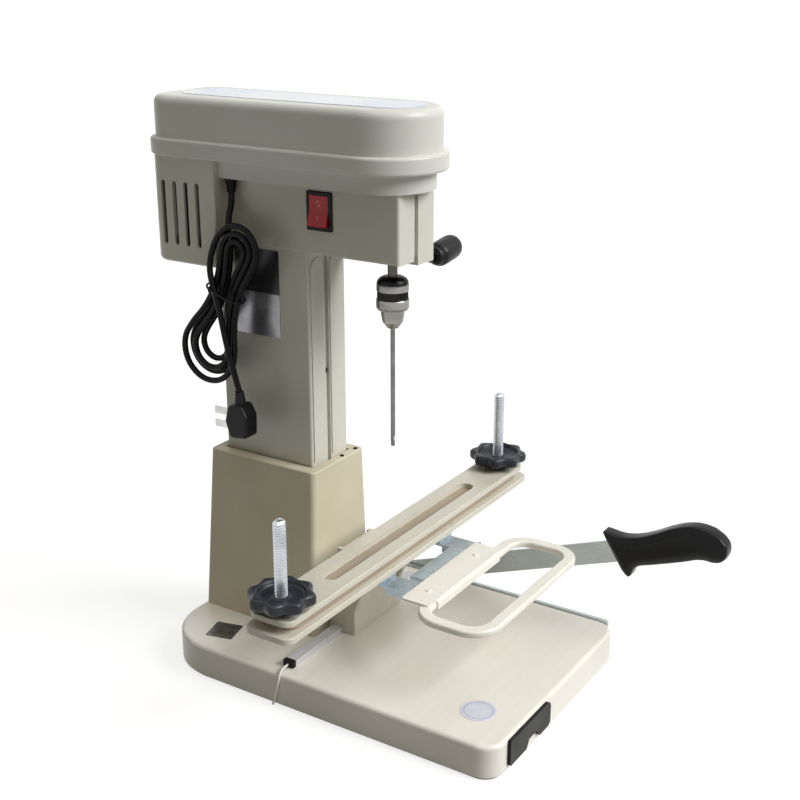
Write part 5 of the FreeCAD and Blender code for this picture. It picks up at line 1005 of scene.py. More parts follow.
@dataclass
class Studio:
    """Camera, soft lights, white floor and background."""

    camera_place: Vector = field(default_factory=lambda: Vector((-0.8303, -0.54565, 0.59192)))
    camera_way: Vector = field(default_factory=lambda: Vector((0.7942, 0.5099, -0.3305)))
    lens: float = 57.16
    key_from: Vector = field(default_factory=lambda: Vector((0.2, -0.78, 0.6)))
    key_strength: float = 2.95
    key_angle: float = 34.0
    top_from: Vector = field(default_factory=lambda: Vector((0.0, -0.15, 1.0)))
    top_strength: float = 0.85
    top_angle: float = 60.0
    sensor: float = 36.0
    floor_size: float = 14.0
    floor_glow: float = 0.78
    surroundings: float = 0.1
    surroundings_tint: Place = (1.05, 1.0, 0.68)
    bounce: float = 0.34
    bounce_tint: Place = (1.0, 0.99, 0.95)

    def build(self) -> None:
        """Sets up everything around the machine."""
        self.set_camera()
        self.set_lamp("key", self.key_from, self.key_strength, self.key_angle)
        self.set_lamp("top", self.top_from, self.top_strength, self.top_angle)
        self.set_floor()
        self.set_world()
        bpy.context.scene.view_settings.view_transform = "Standard"

    def set_camera(self) -> None:
        """Puts the camera where the photograph was taken from."""
        data = bpy.data.cameras.new("camera")
        data.lens = self.lens
        data.sensor_width = self.sensor
        camera = bpy.data.objects.new("camera", data)
        camera.location = self.camera_place
        camera.rotation_euler = self.camera_way.to_track_quat("-Z", "Y").to_euler()
        bpy.context.scene.collection.objects.link(camera)
        bpy.context.scene.camera = camera

    @staticmethod
    def set_lamp(name: str, comes_from: Vector, strength: float, angle: float) -> None:
        """Adds a large soft light.

        Args:
            name: The lamp's name.
            comes_from: Where its light comes from.
            strength: How strong it is.
            angle: How many degrees of the sky it takes up, which softens its shadows.
        """
        data = bpy.data.lights.new(name, "SUN")
        data.energy = strength
        data.angle = math.radians(angle)
        lamp = bpy.data.objects.new(name, data)
        lamp.rotation_euler = (-comes_from).to_track_quat("-Z", "Y").to_euler()
        bpy.context.scene.collection.objects.link(lamp)

    def set_floor(self) -> None:
        """Adds a pale floor that looks white and keeps the machine's shadow."""
        put_tools_down()
        bpy.ops.mesh.primitive_plane_add(size=self.floor_size, location=(0, 0, 0))
        floor = bpy.context.object
        floor.name = "floor"
        material = bpy.data.materials.new("white_floor")
        material.use_nodes = True
        graph = Graph(material.node_tree)
        material.node_tree.nodes.remove(material.node_tree.nodes["Principled BSDF"])
        grey = graph.add("BsdfDiffuse", {"Color": (*(self.bounce * share for share in self.bounce_tint), 1.0)})
        glow = graph.add("Emission", {"Color": (1.0, 1.0, 1.0, 1.0), "Strength": self.floor_glow})
        white = graph.add("AddShader", {0: grey.outputs[0], 1: glow.outputs[0]})
        mix = graph.add("MixShader", {0: self.is_looked_at(graph), 1: grey.outputs[0], 2: white.outputs[0]})
        graph.tree.links.new(mix.outputs[0], material.node_tree.nodes["Material Output"].inputs["Surface"])
        floor.data.materials.append(material)

    def set_world(self) -> None:
        """Lights from all round at a plain level, in front of a white background."""
        world = bpy.data.worlds.new("studio")
        bpy.context.scene.world = world
        world.use_nodes = True
        graph = Graph(world.node_tree)
        world.node_tree.nodes.clear()
        level = [self.surroundings * share for share in self.surroundings_tint]
        dim = graph.add("Background", {"Color": (*level, 1.0), "Strength": 1.0})
        white = graph.add("Background", {"Color": (1.0, 1.0, 1.0, 1.0), "Strength": 1.0})
        mix = graph.add("MixShader", {0: self.is_looked_at(graph), 1: dim.outputs[0], 2: white.outputs[0]})
        way_out = graph.add("OutputWorld")
        graph.tree.links.new(mix.outputs[0], way_out.inputs["Surface"])

    @staticmethod
    def is_looked_at(graph: Graph) -> bpy.types.NodeSocket:
        """1 for rays from the camera, a mirror or glass, and 0 for rays that only carry light."""
        rays = graph.add("LightPath")
        total = graph.maths("ADD", rays.outputs["Is Camera Ray"], rays.outputs["Is Glossy Ray"])
        return graph.maths("MINIMUM", graph.maths("ADD", total, rays.outputs["Is Transmission Ray"]), 1.0)


# ---------------------------------------------------------------- mains lead


@dataclass
class HankShape:
    """The mains lead's hank: loops in two layers with a waist between two lobes.

    Lengths are in millimetres from the drill's axis, and the loops lie in YZ planes.
    """

    layer: float = -42.3
    layer_step: float = 5.95
    step: float = 6.6
    waist_half: float = 1.9
    upper_centre: tuple[float, float] = (119.5, 365.0)
    upper_shift: tuple[float, float] = (-0.07, 0.11)
    upper_radius: float = 8.0
    upper_growth: float = 0.94
    lower_centre: tuple[float, float] = (149.0, 283.0)
    lower_shift: tuple[float, float] = (0.52, -0.50)
    lower_radius: float = 12.6
    lower_growth: float = 1.48
    start: float = -0.135
    climb: float = 1.5
    end: float = 3.855
    run_share: float = 0.115
    climb_share: float = 0.22
    turn_softness: float = 0.1
    widest_waist: float = 2000.0
    halvings: int = 60

    def loop(self, grow: float) -> tuple[Vector, Vector, float, float, float, float]:
        """Circles and waist of the loop that lies grow outside the innermost one.

        Args:
            grow: How far outside the innermost loop it lies.

        Returns:
            Middles and radii of the two lobes, the radius of the waist, and how far below the upper middle it is.
        """
        upper = Vector((0, self.upper_centre[0] + self.upper_shift[0] * grow,
                        self.upper_centre[1] + self.upper_shift[1] * grow))
        lower = Vector((0, self.lower_centre[0] + self.lower_shift[0] * grow,
                        self.lower_centre[1] + self.lower_shift[1] * grow))
        upper_radius = self.upper_radius + self.upper_growth * grow
        lower_radius = self.lower_radius + self.lower_growth * grow
        half = self.waist_half + grow
        apart = (upper - lower).length
        low, high = 1.0, self.widest_waist
        for _ in range(self.halvings):
            waist = (low + high) / 2
            foot = (apart ** 2 + (upper_radius + waist) ** 2 - (lower_radius + waist) ** 2) / (2 * apart)
            reach = math.sqrt(max(0.0, (upper_radius + waist) ** 2 - foot ** 2)) - waist
            if reach < half:
                low = waist
            else:
                high = waist
        return upper, lower, upper_radius, lower_radius, waist, foot

    def point(self, turn: float) -> Vector:
        """A point of the middle line, that many turns after the first pass down the waist.

        Args:
            turn: Turns from the middle of the first pass down the waist.

        Returns:
            The point, from the axis.
        """
        away = turn - self.climb
        grow = self.step * (math.sqrt(away ** 2 + self.turn_softness ** 2) - self.turn_softness)
        upper, lower, upper_radius, lower_radius, waist, foot = self.loop(grow)
        up = (upper - lower).normalized()
        back = Vector((0, up.z, -up.y))
        half = self.waist_half + grow
        middle = upper - up * foot
        high_angle = math.asin(foot / (upper_radius + waist))
        low_angle = math.asin(((upper - lower).length - foot) / (lower_radius + waist))
        share = self.run_share
        phase = turn % 1.0
        if phase > 1 - share:
            phase -= 1.0
        if phase <= share:
            angle = high_angle - (high_angle + low_angle) * (phase + share) / (2 * share)
            spot = middle + back * (half + waist - waist * math.cos(angle)) + up * waist * math.sin(angle)
        elif phase <= 0.5 - share:
            angle = (math.pi / 2 + low_angle) * (1 - 2 * (phase - share) / (0.5 - 2 * share))
            spot = lower + (back * math.sin(angle) - up * math.cos(angle)) * lower_radius
        elif phase <= 0.5 + share:
            angle = (high_angle + low_angle) * (phase - 0.5 + share) / (2 * share) - low_angle
            spot = middle - back * (half + waist - waist * math.cos(angle)) + up * waist * math.sin(angle)
        else:
            angle = (math.pi / 2 + high_angle) * (2 * (phase - 0.5 - share) / (0.5 - 2 * share) - 1)
            spot = upper + (back * math.sin(angle) + up * math.cos(angle)) * upper_radius
        raised = max(-1.0, min(1.0, away / self.climb_share))
        layer = (1 + math.sin(raised * math.pi / 2)) / 2
        return Vector((self.layer - self.layer_step * layer, spot.y, spot.z))

    def way(self, turn: float) -> Vector:
        """The direction of the middle line there."""
        return (self.point(turn + 1e-4) - self.point(turn - 1e-4)).normalized()


@dataclass
class MainsLead:
    """Mains lead: ribbed relief, the cord with its hank, tie, plug and pins."""

    diameter: float = 5.2
    length: float = 1.384
    exit: Place = (-32.4, 135.0, 411.2)
    lead_points: Sequence[Place] = ((-32.4, 135.0, 405.0), (-34.6, 134.4, 398.2), (-39.2, 133.3, 391.6))
    before_hank: float = 7.5
    after_hank: float = 6.0
    tail_points: Sequence[Place] = (
        (-50.8, 146.0, 354.5), (-53.9, 143.2, 344.0), (-54.6, 139.4, 333.0), (-54.7, 134.9, 319.0),
        (-54.7, 131.0, 299.0), (-54.5, 126.0, 277.0), (-53.2, 121.8, 259.5), (-51.5, 119.6, 246.0))
    points_per_turn: int = 20
    roundness: int = 5
    hank: HankShape = field(default_factory=HankShape)
    relief_foot: Place = (-32.4, 135.0, 422.0)
    relief_length: float = 12.0
    relief_flange: float = 1.0
    relief_neck: float = 2.0
    relief_end: float = 0.8
    relief_top: float = 4.6
    relief_tip: float = 3.6
    relief_ribs: int = 4
    relief_groove: float = 0.7
    relief_play: float = 0.08
    tie_radius: float = 0.9
    tie_half_wide: float = 18.9
    twist_place: float = 0.55
    twist_half: float = 0.85
    twist_sink: float = 0.2

    def route(self) -> list[Place]:
        """The cord's control points, from the relief to the plug.

        Returns:
            The points, in millimetres from the drill's axis.
        """
        hank = self.hank
        first = hank.point(hank.start) - hank.way(hank.start) * self.diameter
        last = hank.point(hank.end) + hank.way(hank.end) * self.diameter
        lead = [self.exit, *self.lead_points, tuple(first - hank.way(hank.start) * self.before_hank), tuple(first)]
        count = round((hank.end - hank.start) * self.points_per_turn)
        turns = [hank.start + (hank.end - hank.start) * index / count for index in range(count + 1)]
        wound = [tuple(hank.point(turn)) for turn in turns]
        tail = [tuple(last), tuple(last + hank.way(hank.end) * self.after_hank), *self.tail_points]
        return lead + wound + tail

    def build(self, bench: Bench) -> None:
        """Makes the lead and all that is on it.

        Args:
            bench: The bench that all pieces share.
        """
        relief = self.make_relief(bench)
        cord = make_soft_line("mains_lead", [bench.from_axis(*spot) for spot in self.route()],
                              self.diameter * MM, self.roundness)
        bench.add(cord, Look.CORD, "head", "cord_black", ["cord_lead", "cord_hank", "cord_tail"])
        tie = self.make_tie(bench)
        bench.dress(Look.PLUG, "plug_body")
        bench.dress(Look.PINS, "plug_pins")

    def make_tie(self, bench: Bench) -> bpy.types.Object:
        """Bends the wire tie round the hank's waist.

        Args:
            bench: The bench that all pieces share.

        Returns:
            The tie.
        """
        low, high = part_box("cord_tie")
        middle = (low + high) / 2
        upper, lower = Vector((0, *self.hank.upper_centre)), Vector((0, *self.hank.lower_centre))
        along = (upper - lower).normalized()
        back = Vector((0, along.z, -along.y))
        put_tools_down()
        half_deep = (high.x - low.x) / 2 - self.tie_radius * MM
        bpy.ops.mesh.primitive_torus_add(location=middle, major_radius=half_deep, minor_radius=self.tie_radius * MM,
                                         major_segments=36, minor_segments=10,
                                         rotation=along.to_track_quat("Z", "X").to_euler())
        tie = bpy.context.object
        tie.name = "wire_tie"
        open_mesh(tie, "VERT")
        stretch = (self.tie_half_wide - self.tie_radius) * MM - half_deep
        for side in (-1, 1):
            pick_points(tie, lambda point, side=side: (point - middle).dot(back) * side > 0.02 * MM)
            bpy.ops.transform.translate(value=tuple(back * side * stretch))
        twist = middle + back * (self.tie_half_wide * self.twist_place * MM)
        for shift in (-self.twist_half, self.twist_half):
            self.add_twist(tie, twist, along * shift * MM, half_deep)
        settle(tie, sharp_at=60.0)
        bench.add(tie, Look.CORD, "head", "cord_black", ["cord_tie"])
        return tie

    def add_twist(self, tie: bpy.types.Object, place: Vector, shift: Vector, half_deep: float) -> None:
        """Adds one of the two short wire ends that are twisted together on the tie's outer side.

        Args:
            tie: The tie, which the wire end becomes part of.
            place: The middle of the twist, over the middle of the hank.
            shift: How far along the hank this wire end lies from there.
            half_deep: Half the tie's depth.
        """
        take(tie)
        bpy.ops.object.mode_set(mode="EDIT")
        bpy.ops.mesh.select_all(action="DESELECT")
        outer = place + Vector((-half_deep + self.twist_sink * MM, 0, 0)) + shift
        bpy.ops.mesh.primitive_uv_sphere_add(segments=12, ring_count=8, radius=self.tie_radius * 1.5 * MM,
                                             location=outer)
        bpy.ops.transform.resize(value=(0.62, 1.0, 1.5), center_override=tuple(outer))
        put_tools_down()

    def make_relief(self, bench: Bench) -> bpy.types.Object:
        """Turns the ribbed sleeve that guards the cord where it leaves the head.

        Args:
            bench: The bench that all pieces share.

        Returns:
            The relief.
        """
        inner = self.diameter / 2 + self.relief_play
        flange = self.relief_top + self.relief_flange
        profile = [(inner, 0.0), (flange, 0.0), (flange, 0.8 * self.relief_neck), (self.relief_top, self.relief_neck)]
        span = (self.relief_length - self.relief_neck - self.relief_end) / self.relief_ribs
        for rib in range(self.relief_ribs):
            low = self.relief_neck + span * rib
            wide = self.relief_top + (self.relief_tip - self.relief_top) * rib / self.relief_ribs
            narrow = wide - self.relief_groove
            profile += [(radius, low + span * share) for radius, share
                        in ((narrow, 0.12), (narrow, 0.42), (wide, 0.55), (wide, 0.92))]
        profile += [(self.relief_tip - 0.3, self.relief_length - 0.3), (inner, self.relief_length), (inner, 0.0)]
        foot = bench.from_axis(*self.relief_foot)
        relief = settle(spin_profile("relief_sleeve", profile, foot, Vector((0, 0, -1)), steps=40))
        bench.add(relief, Look.CORD, "head", "cord_black", ["cord_relief"])
        return relief


def make_soft_line(name: str, points: Sequence[Vector], diameter: float, roundness: int) -> bpy.types.Object:
    """A round cord along a smooth spline.

    Args:
        name: The piece's name.
        points: The spline's control points, in the frame.
        diameter: The cord's thickness in metres.
        roundness: How finely the cord's section is rounded.

    Returns:
        The cord, as one open curve.
    """
    data = bpy.data.curves.new(name, "CURVE")
    data.dimensions = "3D"
    spline = data.splines.new("NURBS")
    spline.points.add(len(points) - 1)
    for spot, control in zip(points, spline.points):
        control.co = (spot.x, spot.y, spot.z, 1.0)
    spline.order_u = SPLINE_ORDER
    spline.use_endpoint_u = True
    spline.resolution_u = SPLINE_STEPS
    data.resolution_u = SPLINE_STEPS
    data.bevel_depth = diameter / 2
    data.bevel_resolution = roundness
    data.use_fill_caps = True
    piece = bpy.data.objects.new(name, data)
    bpy.context.scene.collection.objects.link(piece)
    return piece


@dataclass
class BinderThread:
    """The thin white thread that comes out of the rail's end and hangs over the base's edge."""

    diameter: float = 2.0
    length: float = 0.0437
    roundness: int = 3
    route: Sequence[Place] = (
        (-95.0, 43.5, 33.25), (-99.0, 43.3, 33.4), (-104.5, 42.6, 33.2), (-108.6, 41.9, 30.5),
        (-109.6, 42.6, 24.5), (-109.9, 44.6, 15.8), (-110.2, 46.6, 8.6), (-110.9, 47.6, 2.4))

    def build(self, bench: Bench) -> None:
        """Makes the thread.

        Args:
            bench: The bench that all pieces share.
        """
        points = [bench.from_axis(*spot) for spot in self.route]
        thread = make_soft_line("thread", points, self.diameter * MM, self.roundness)
        bench.add(thread, Look.THREAD, "base", "thread_white", ["binding_thread"])


# ---------------------------------------------------------------- base


@dataclass
class SmallScrew:
    """A small dark pan-head screw with a round recess."""

    head_radius: float = 2.4
    head_height: float = 1.5
    recess_radius: float = 1.1
    recess_depth: float = 0.9
    recess_lip: float = 0.15
    recess_fall: float = 0.1
    steps: int = 20

    def build(self, name: str, foot: Vector, way: Vector) -> bpy.types.Object:
        """Turns the screw's head.

        Args:
            name: The piece's name.
            foot: Where the head's middle sits on the surface.
            way: The direction that the head faces.

        Returns:
            The screw's head.
        """
        r, h = self.head_radius, self.head_height
        profile = [(0.0, 0.0), (r, 0.0), (r, h * 0.35), (r * 0.9, h * 0.7), (r * 0.7, h * 0.92),
                   (self.recess_radius + self.recess_lip, h), (self.recess_radius, h - self.recess_fall),
                   (self.recess_radius * 0.9, h - self.recess_depth),
                   (0.0, h - self.recess_depth - self.recess_fall)]
        return settle(spin_profile(name, profile, foot, way, self.steps))


@dataclass
class BaseAndDrawer:
    """Base board with its pad and drawer, the column's cover and foot, the rail and the stickers."""

    ledge_screws: Sequence[tuple[float, float]] = ((9.5, 58.9), (29.8, 58.9))
    ledge_height: float = 182.3
    screw: SmallScrew = field(default_factory=lambda: SmallScrew(head_radius=1.9, head_height=1.1,
                                                                recess_radius=0.9, recess_depth=0.7))

    def build(self, bench: Bench) -> None:
        """Dresses the base and adds the screws on the cover's ledge.

        Args:
            bench: The bench that all pieces share.
        """
        bench.dress(Look.BOARD, "base_board")
        bench.dress(Look.PAD, "anti_slip_pad")
        bench.dress(Look.COVER, "column_cover")
        bench.dress(Look.DRAWER, "drawer")
        bench.dress(Look.STICKERS, "base_labels")
        bench.dress(Look.RAIL, "slide_rail")
        bench.dress(Look.BLACK, "rail_end_plug")
        bench.dress(Look.ZINC, "column_foot", "guide_post", "return_spring")
        bench.dress(Look.STEEL, "feed_rack")
        for index, (x, y) in enumerate(self.ledge_screws):
            foot = bench.from_axis(x, y, self.ledge_height)
            head = self.screw.build(f"ledge_screw_{index + 1}", foot, Vector((0, 0, 1)))
            bench.add(head, Look.BLACK, "base", "black")


# ---------------------------------------------------------------- head and column


@dataclass
class HeadAndColumn:
    """The moving head: shells, lid, motor housing, labels and the rocker switch with its marks."""

    strip_screw: tuple[float, float] = (-1.35, 261.6)
    strip_face: float = 67.3
    mark_radius: float = 2.3
    mark_width: float = 0.32
    mark_squash: float = 0.72
    mark_up: float = 6.2
    bar_down: float = 5.4
    bar_width: float = 0.6
    bar_depth: float = 0.5
    bar_height: float = 2.6
    bar_edge: float = 0.12

    def build(self, bench: Bench) -> None:
        """Dresses the head and adds its small pieces.

        Args:
            bench: The bench that all pieces share.
        """
        bench.dress(Look.SHELL, "left_body_half", "right_body_half", "motor_housing", "centre_strips")
        bench.dress(Look.LID, "head_tray", "belt_cover")
        bench.dress(Look.LABEL, "top_label")
        bench.dress(Look.PLATE, "rating_plate")
        bench.dress(Look.NYLON, "guide_blocks")
        bench.dress(Look.STEEL, "spindle_housing", "spindle_bearings")
        bench.dress(Look.MOTOR, "motor_can", "motor_rotor")
        bench.dress(Look.ZINC, "motor_pulley")
        bench.dress(Look.BELT, "drive_belt")
        bench.dress(Look.BLACK, "switch_bezel")
        bench.dress(Look.ROCKER, "switch_rocker")
        self.add_strip_screw(bench)
        self.add_marks(bench)

    def add_strip_screw(self, bench: Bench) -> None:
        """Adds the dark screw in the groove of the column."""
        foot = bench.from_axis(self.strip_screw[0], self.strip_face, self.strip_screw[1])
        head = SmallScrew().build("groove_screw", foot, Vector((0, -1, 0)))
        bench.add(head, Look.BLACK, "head", "black")

    def add_marks(self, bench: Bench) -> None:
        """Adds the ring and the bar that mark the rocker's off and on ends.

        Args:
            bench: The bench that all pieces share.
        """
        low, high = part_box("switch_rocker")
        middle = (low + high) / 2
        rocker = bench.nodes["switch_rocker"]
        ring_place, ring_way = face_from_left(rocker, middle + Vector((0, 0, self.mark_up * MM)))
        bar_place, bar_way = face_from_left(rocker, middle - Vector((0, 0, self.bar_down * MM)))
        for mark in (self.make_ring(ring_place, ring_way), self.make_bar(bar_place, bar_way)):
            bench.add(mark, Look.MARK, "rocker", "switch_red")

    def make_ring(self, place: Vector, way: Vector) -> bpy.types.Object:
        """The ring that marks the off end.

        Args:
            place: Its middle, on the rocker's face.
            way: The way that the face looks there.

        Returns:
            The ring.
        """
        put_tools_down()
        bpy.ops.mesh.primitive_torus_add(location=place, major_radius=self.mark_radius * MM,
                                         minor_radius=self.mark_width * MM, major_segments=32, minor_segments=8,
                                         rotation=way.to_track_quat("Z", "Y").to_euler())
        ring = bpy.context.object
        ring.name = "off_mark"
        open_mesh(ring)
        bpy.ops.mesh.select_all(action="SELECT")
        scale_picked((1.0, self.mark_squash, 1.0), place)
        return settle(ring)

    def make_bar(self, place: Vector, way: Vector) -> bpy.types.Object:
        """The bar that marks the on end.

        Args:
            place: Its middle, on the rocker's face.
            way: The way that the face looks there.

        Returns:
            The bar.
        """
        put_tools_down()
        bpy.ops.mesh.primitive_cube_add(size=MM, location=place, rotation=way.to_track_quat("Z", "Y").to_euler())
        bar = bpy.context.object
        bar.name = "on_mark"
        bar.scale = (self.bar_width, self.bar_width, self.bar_depth)
        take(bar)
        bpy.ops.object.transform_apply(location=False, rotation=False, scale=True)
        open_mesh(bar)
        bpy.ops.mesh.select_all(action="SELECT")
        scale_picked((1.0, 1.0, self.bar_height / self.bar_width), place)
        bpy.ops.mesh.bevel(offset=self.bar_edge * MM, segments=2)
        return settle(bar)


def face_from_left(node: bpy.types.Object, spot: Vector) -> tuple[Vector, Vector]:
    """Where a line from the machine's left meets a node, and that face's normal.

    Args:
        node: The CAD node.
        spot: Height and depth of the line; its X isn't used.

    Returns:
        The point on the surface and the way that it faces.
    """
    hit, place, normal, _ = node.ray_cast(Vector((-1.0, spot.y, spot.z)), Vector((1.0, 0.0, 0.0)))
    if not hit:
        raise ValueError(f"nothing of {node.name} at {tuple(spot)}")
    return place, normal


# ---------------------------------------------------------------- spindle, chuck and bit


@dataclass
class SpindleAndChuck:
    """The spindle with its pulley, the key chuck and the hollow bit."""

    body_steps: int = 90
    body_profile: Profile = (
        (0.0, 352.0), (5.5, 352.0), (8.6, 351.5), (11.2, 349.9), (12.5, 347.9), (12.9, 346.3), (12.9, 345.9),
        (12.5, 345.6), (12.5, 345.3), (13.0, 345.0), (13.1, 344.6), (13.1, 340.5), (12.9, 340.2), (12.45, 340.0),
        (12.45, 339.4), (12.55, 339.2), (12.55, 334.2), (12.45, 334.0), (12.45, 333.6), (13.1, 333.4),
        (13.35, 333.0), (13.35, 326.9), (13.2, 326.4), (11.9, 324.5), (10.2, 324.3), (0.0, 324.3))
    knurl_zone: tuple[float, float] = (334.05, 339.35)
    knurl_depth: float = 0.965
    tooth_zone: tuple[float, float] = (324.4, 326.6)
    tooth_depth: float = 0.93
    dark_zone: tuple[float, float] = (333.5, 340.1)
    dark_above: float = 345.5
    bit_radius: float = 1.9
    bit_wall: float = 0.42
    bit_step: float = 0.22
    bit_tip: float = 207.5
    bit_top: float = 330.0
    bore_depth: float = 14.0
    slot_above: float = 4.4
    slot_length: float = 4.2
    slot_rings: int = 7
    slot_heading: float = -35.0
    slot_from: float = 0.15
    slot_sinks: Sequence[tuple[float, float]] = ((0.35, 0.92), (0.35, 0.62), (0.3, 0.4))
    shank_from: float = 60.0
    section_sides: int = 24

    def build(self, bench: Bench) -> None:
        """Dresses the spindle and makes the chuck's body and the bit.

        Args:
            bench: The bench that all pieces share.
        """
        bench.dress(Look.SHAFT, "spindle")
        bench.dress(Look.ZINC, "spindle_pulley")
        bench.dress(Look.CHUCK, "chuck_nose")
        self.make_chuck(bench)
        self.make_bit(bench)

    def make_chuck(self, bench: Bench) -> None:
        """Turns the chuck's body, knurls its sleeve and cuts the key's teeth.

        Args:
            bench: The bench that all pieces share.
        """
        axis = bench.axis
        chuck = spin_profile("chuck_sleeve", self.body_profile, axis, Vector((0, 0, 1)), self.body_steps)
        step = 2 * math.pi / self.body_steps

        def is_groove(point: Vector, zone: tuple[float, float]) -> bool:
            """Whether a point lies in a zone, on every second line of it."""
            angle = math.atan2(point.y - axis.y, point.x - axis.x)
            return round(angle / step) % 2 == 0 and zone[0] * MM < point.z < zone[1] * MM

        open_mesh(chuck, "VERT")
        for zone, depth in ((self.knurl_zone, self.knurl_depth), (self.tooth_zone, self.tooth_depth)):
            pick_points(chuck, lambda point, zone=zone: is_groove(point, zone))
            scale_picked((depth, depth, 1.0), axis)
        put_tools_down()
        chuck.data.materials.append(bench.finishes.get(Look.CHUCK))
        chuck.data.materials.append(bench.finishes.get(Look.CHUCK_DARK))
        open_mesh(chuck)
        chuck.active_material_index = 1
        low, high = self.dark_zone
        pick_faces(chuck, lambda middle, way: middle.z > self.dark_above * MM or low * MM < middle.z < high * MM)
        bpy.ops.object.material_slot_assign()
        settle(chuck, sharp_at=30.0)
        bench.add(chuck, Look.CHUCK, "spindle_set", "chuck_steel", ["chuck_body"])

    def make_bit(self, bench: Bench) -> None:
        """Turns the hollow bit with its stepped mouth, and sinks the chip slot in its side.

        Args:
            bench: The bench that all pieces share.
        """
        r, tip = self.bit_radius, self.bit_tip
        mouth, neck = r - self.bit_wall, r - self.bit_step
        profile = [(0.0, tip + self.bore_depth), (mouth - 0.3, tip + self.bore_depth), (mouth, tip + 0.05),
                   (mouth + 0.1, tip), (neck, tip + 1.6), (neck, tip + 3.4), (r, tip + 3.9)]
        low = tip + self.slot_above
        rise = self.slot_length / self.slot_rings
        profile += [(r, low + rise * ring) for ring in range(self.slot_rings + 1)]
        profile += [(r, tip + self.shank_from), (r, self.bit_top), (0.0, self.bit_top)]
        bit = spin_profile("hollow_bit", profile, bench.axis, Vector((0, 0, 1)), self.section_sides)
        heading = math.radians(self.slot_heading)
        side = Vector((math.cos(heading), math.sin(heading), 0))
        open_mesh(bit, "VERT")
        middle = (low + self.slot_length / 2) * MM
        for depth, share in self.slot_sinks:
            reach = share * self.slot_length / 2 * MM
            pick_points(bit, lambda point, reach=reach: abs(point.z - middle) < reach
                        and (point - bench.axis).dot(side) > self.slot_from * r * MM)
            bpy.ops.transform.translate(value=tuple(side * -depth * r * MM))
        settle(bit, sharp_at=32.0)
        bench.add(bit, Look.BIT, "spindle_set", "steel", ["drill_bit"])


# ---------------------------------------------------------------- feed lever


@dataclass
class FeedLever:
    """The feed lever: hub with its bolt, and an arm that bows up beside the head to the grip."""

    hub_profile: Profile = (
        (0.0, 1.1), (5.1, 1.1), (5.1, 0.0), (10.8, 0.0), (11.7, 0.4), (12.0, 1.3), (12.0, 9.8), (11.4, 11.0),
        (10.1, 11.6), (7.6, 11.8), (7.2, 11.4), (6.4, 11.2), (4.6, 11.2), (4.4, 11.9), (3.2, 12.0), (2.4, 11.1),
        (0.0, 10.8))
    hub_sides: int = 40
    shaft_y: float = 100.0
    shaft_z: float = 345.0
    arm_radius: float = 3.4
    arm_sides: int = 16
    arm_points: Sequence[Place] = (
        (34.5, 98.5, 349.0), (36.5, 90.0, 354.5), (40.0, 78.0, 359.5), (43.5, 62.0, 362.8), (46.5, 42.0, 364.0),
        (48.6, 22.0, 362.8), (50.0, 6.0, 359.2), (50.8, -2.5, 356.6), (51.2, -7.0, 355.6))

    grip_foot: Place = (50.0, -6.0, 357.0)
    grip_tilt: float = 8.0
    grip_profile: Profile = (
        (0.0, 3.2), (5.2, 3.2), (6.6, 3.5), (7.4, 4.3), (7.7, 5.6), (8.0, 6.6), (9.0, 7.6), (9.9, 9.0), (10.3, 11.0),
        (10.45, 15.0), (10.45, 26.0), (10.3, 30.0), (9.8, 32.6), (8.8, 34.5), (7.0, 35.6), (4.0, 36.1), (0.0, 36.2))

    def build(self, bench: Bench) -> None:
        """Makes the lever and its grip, and dresses what it turns.

        Args:
            bench: The bench that all pieces share.
        """
        bench.dress(Look.STEEL, "feed_pinion")
        tilt = math.radians(self.grip_tilt)
        along = Vector((math.cos(tilt), 0, math.sin(tilt)))
        grip = spin_profile("barrel_grip", self.grip_profile, bench.from_axis(*self.grip_foot), along)
        bench.add(settle(grip, sharp_at=50.0), Look.BARREL, "lever", "black", ["lever_grip"])
        low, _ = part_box("feed_lever")
        foot = Vector((low.x, bench.axis.y + self.shaft_y * MM, self.shaft_z * MM))
        hub = spin_profile("lever_arm", self.hub_profile, foot, Vector((1, 0, 0)), self.hub_sides)
        lever = settle(join_pieces([hub, self.make_arm(bench)]), sharp_at=38.0)
        bench.add(lever, Look.SHAFT, "lever", "zinc", ["feed_lever"])

    def make_arm(self, bench: Bench) -> bpy.types.Object:
        """Pulls the arm's round section along its line.

        Args:
            bench: The bench that all pieces share.

        Returns:
            The arm.
        """
        points = [bench.from_axis(*spot) for spot in self.arm_points]
        put_tools_down()
        bpy.ops.mesh.primitive_circle_add(vertices=self.arm_sides, radius=self.arm_radius * MM, fill_type="NGON",
                                          location=points[0], rotation=(math.radians(90), 0, 0))
        arm = bpy.context.object
        open_mesh(arm)
        bpy.ops.mesh.select_all(action="SELECT")
        for before, after in zip(points, points[1:]):
            pull_picked(after - before)
        bpy.ops.mesh.select_all(action="SELECT")
        bpy.ops.mesh.normals_make_consistent(inside=False)
        put_tools_down()
        return arm


# ---------------------------------------------------------------- clamp


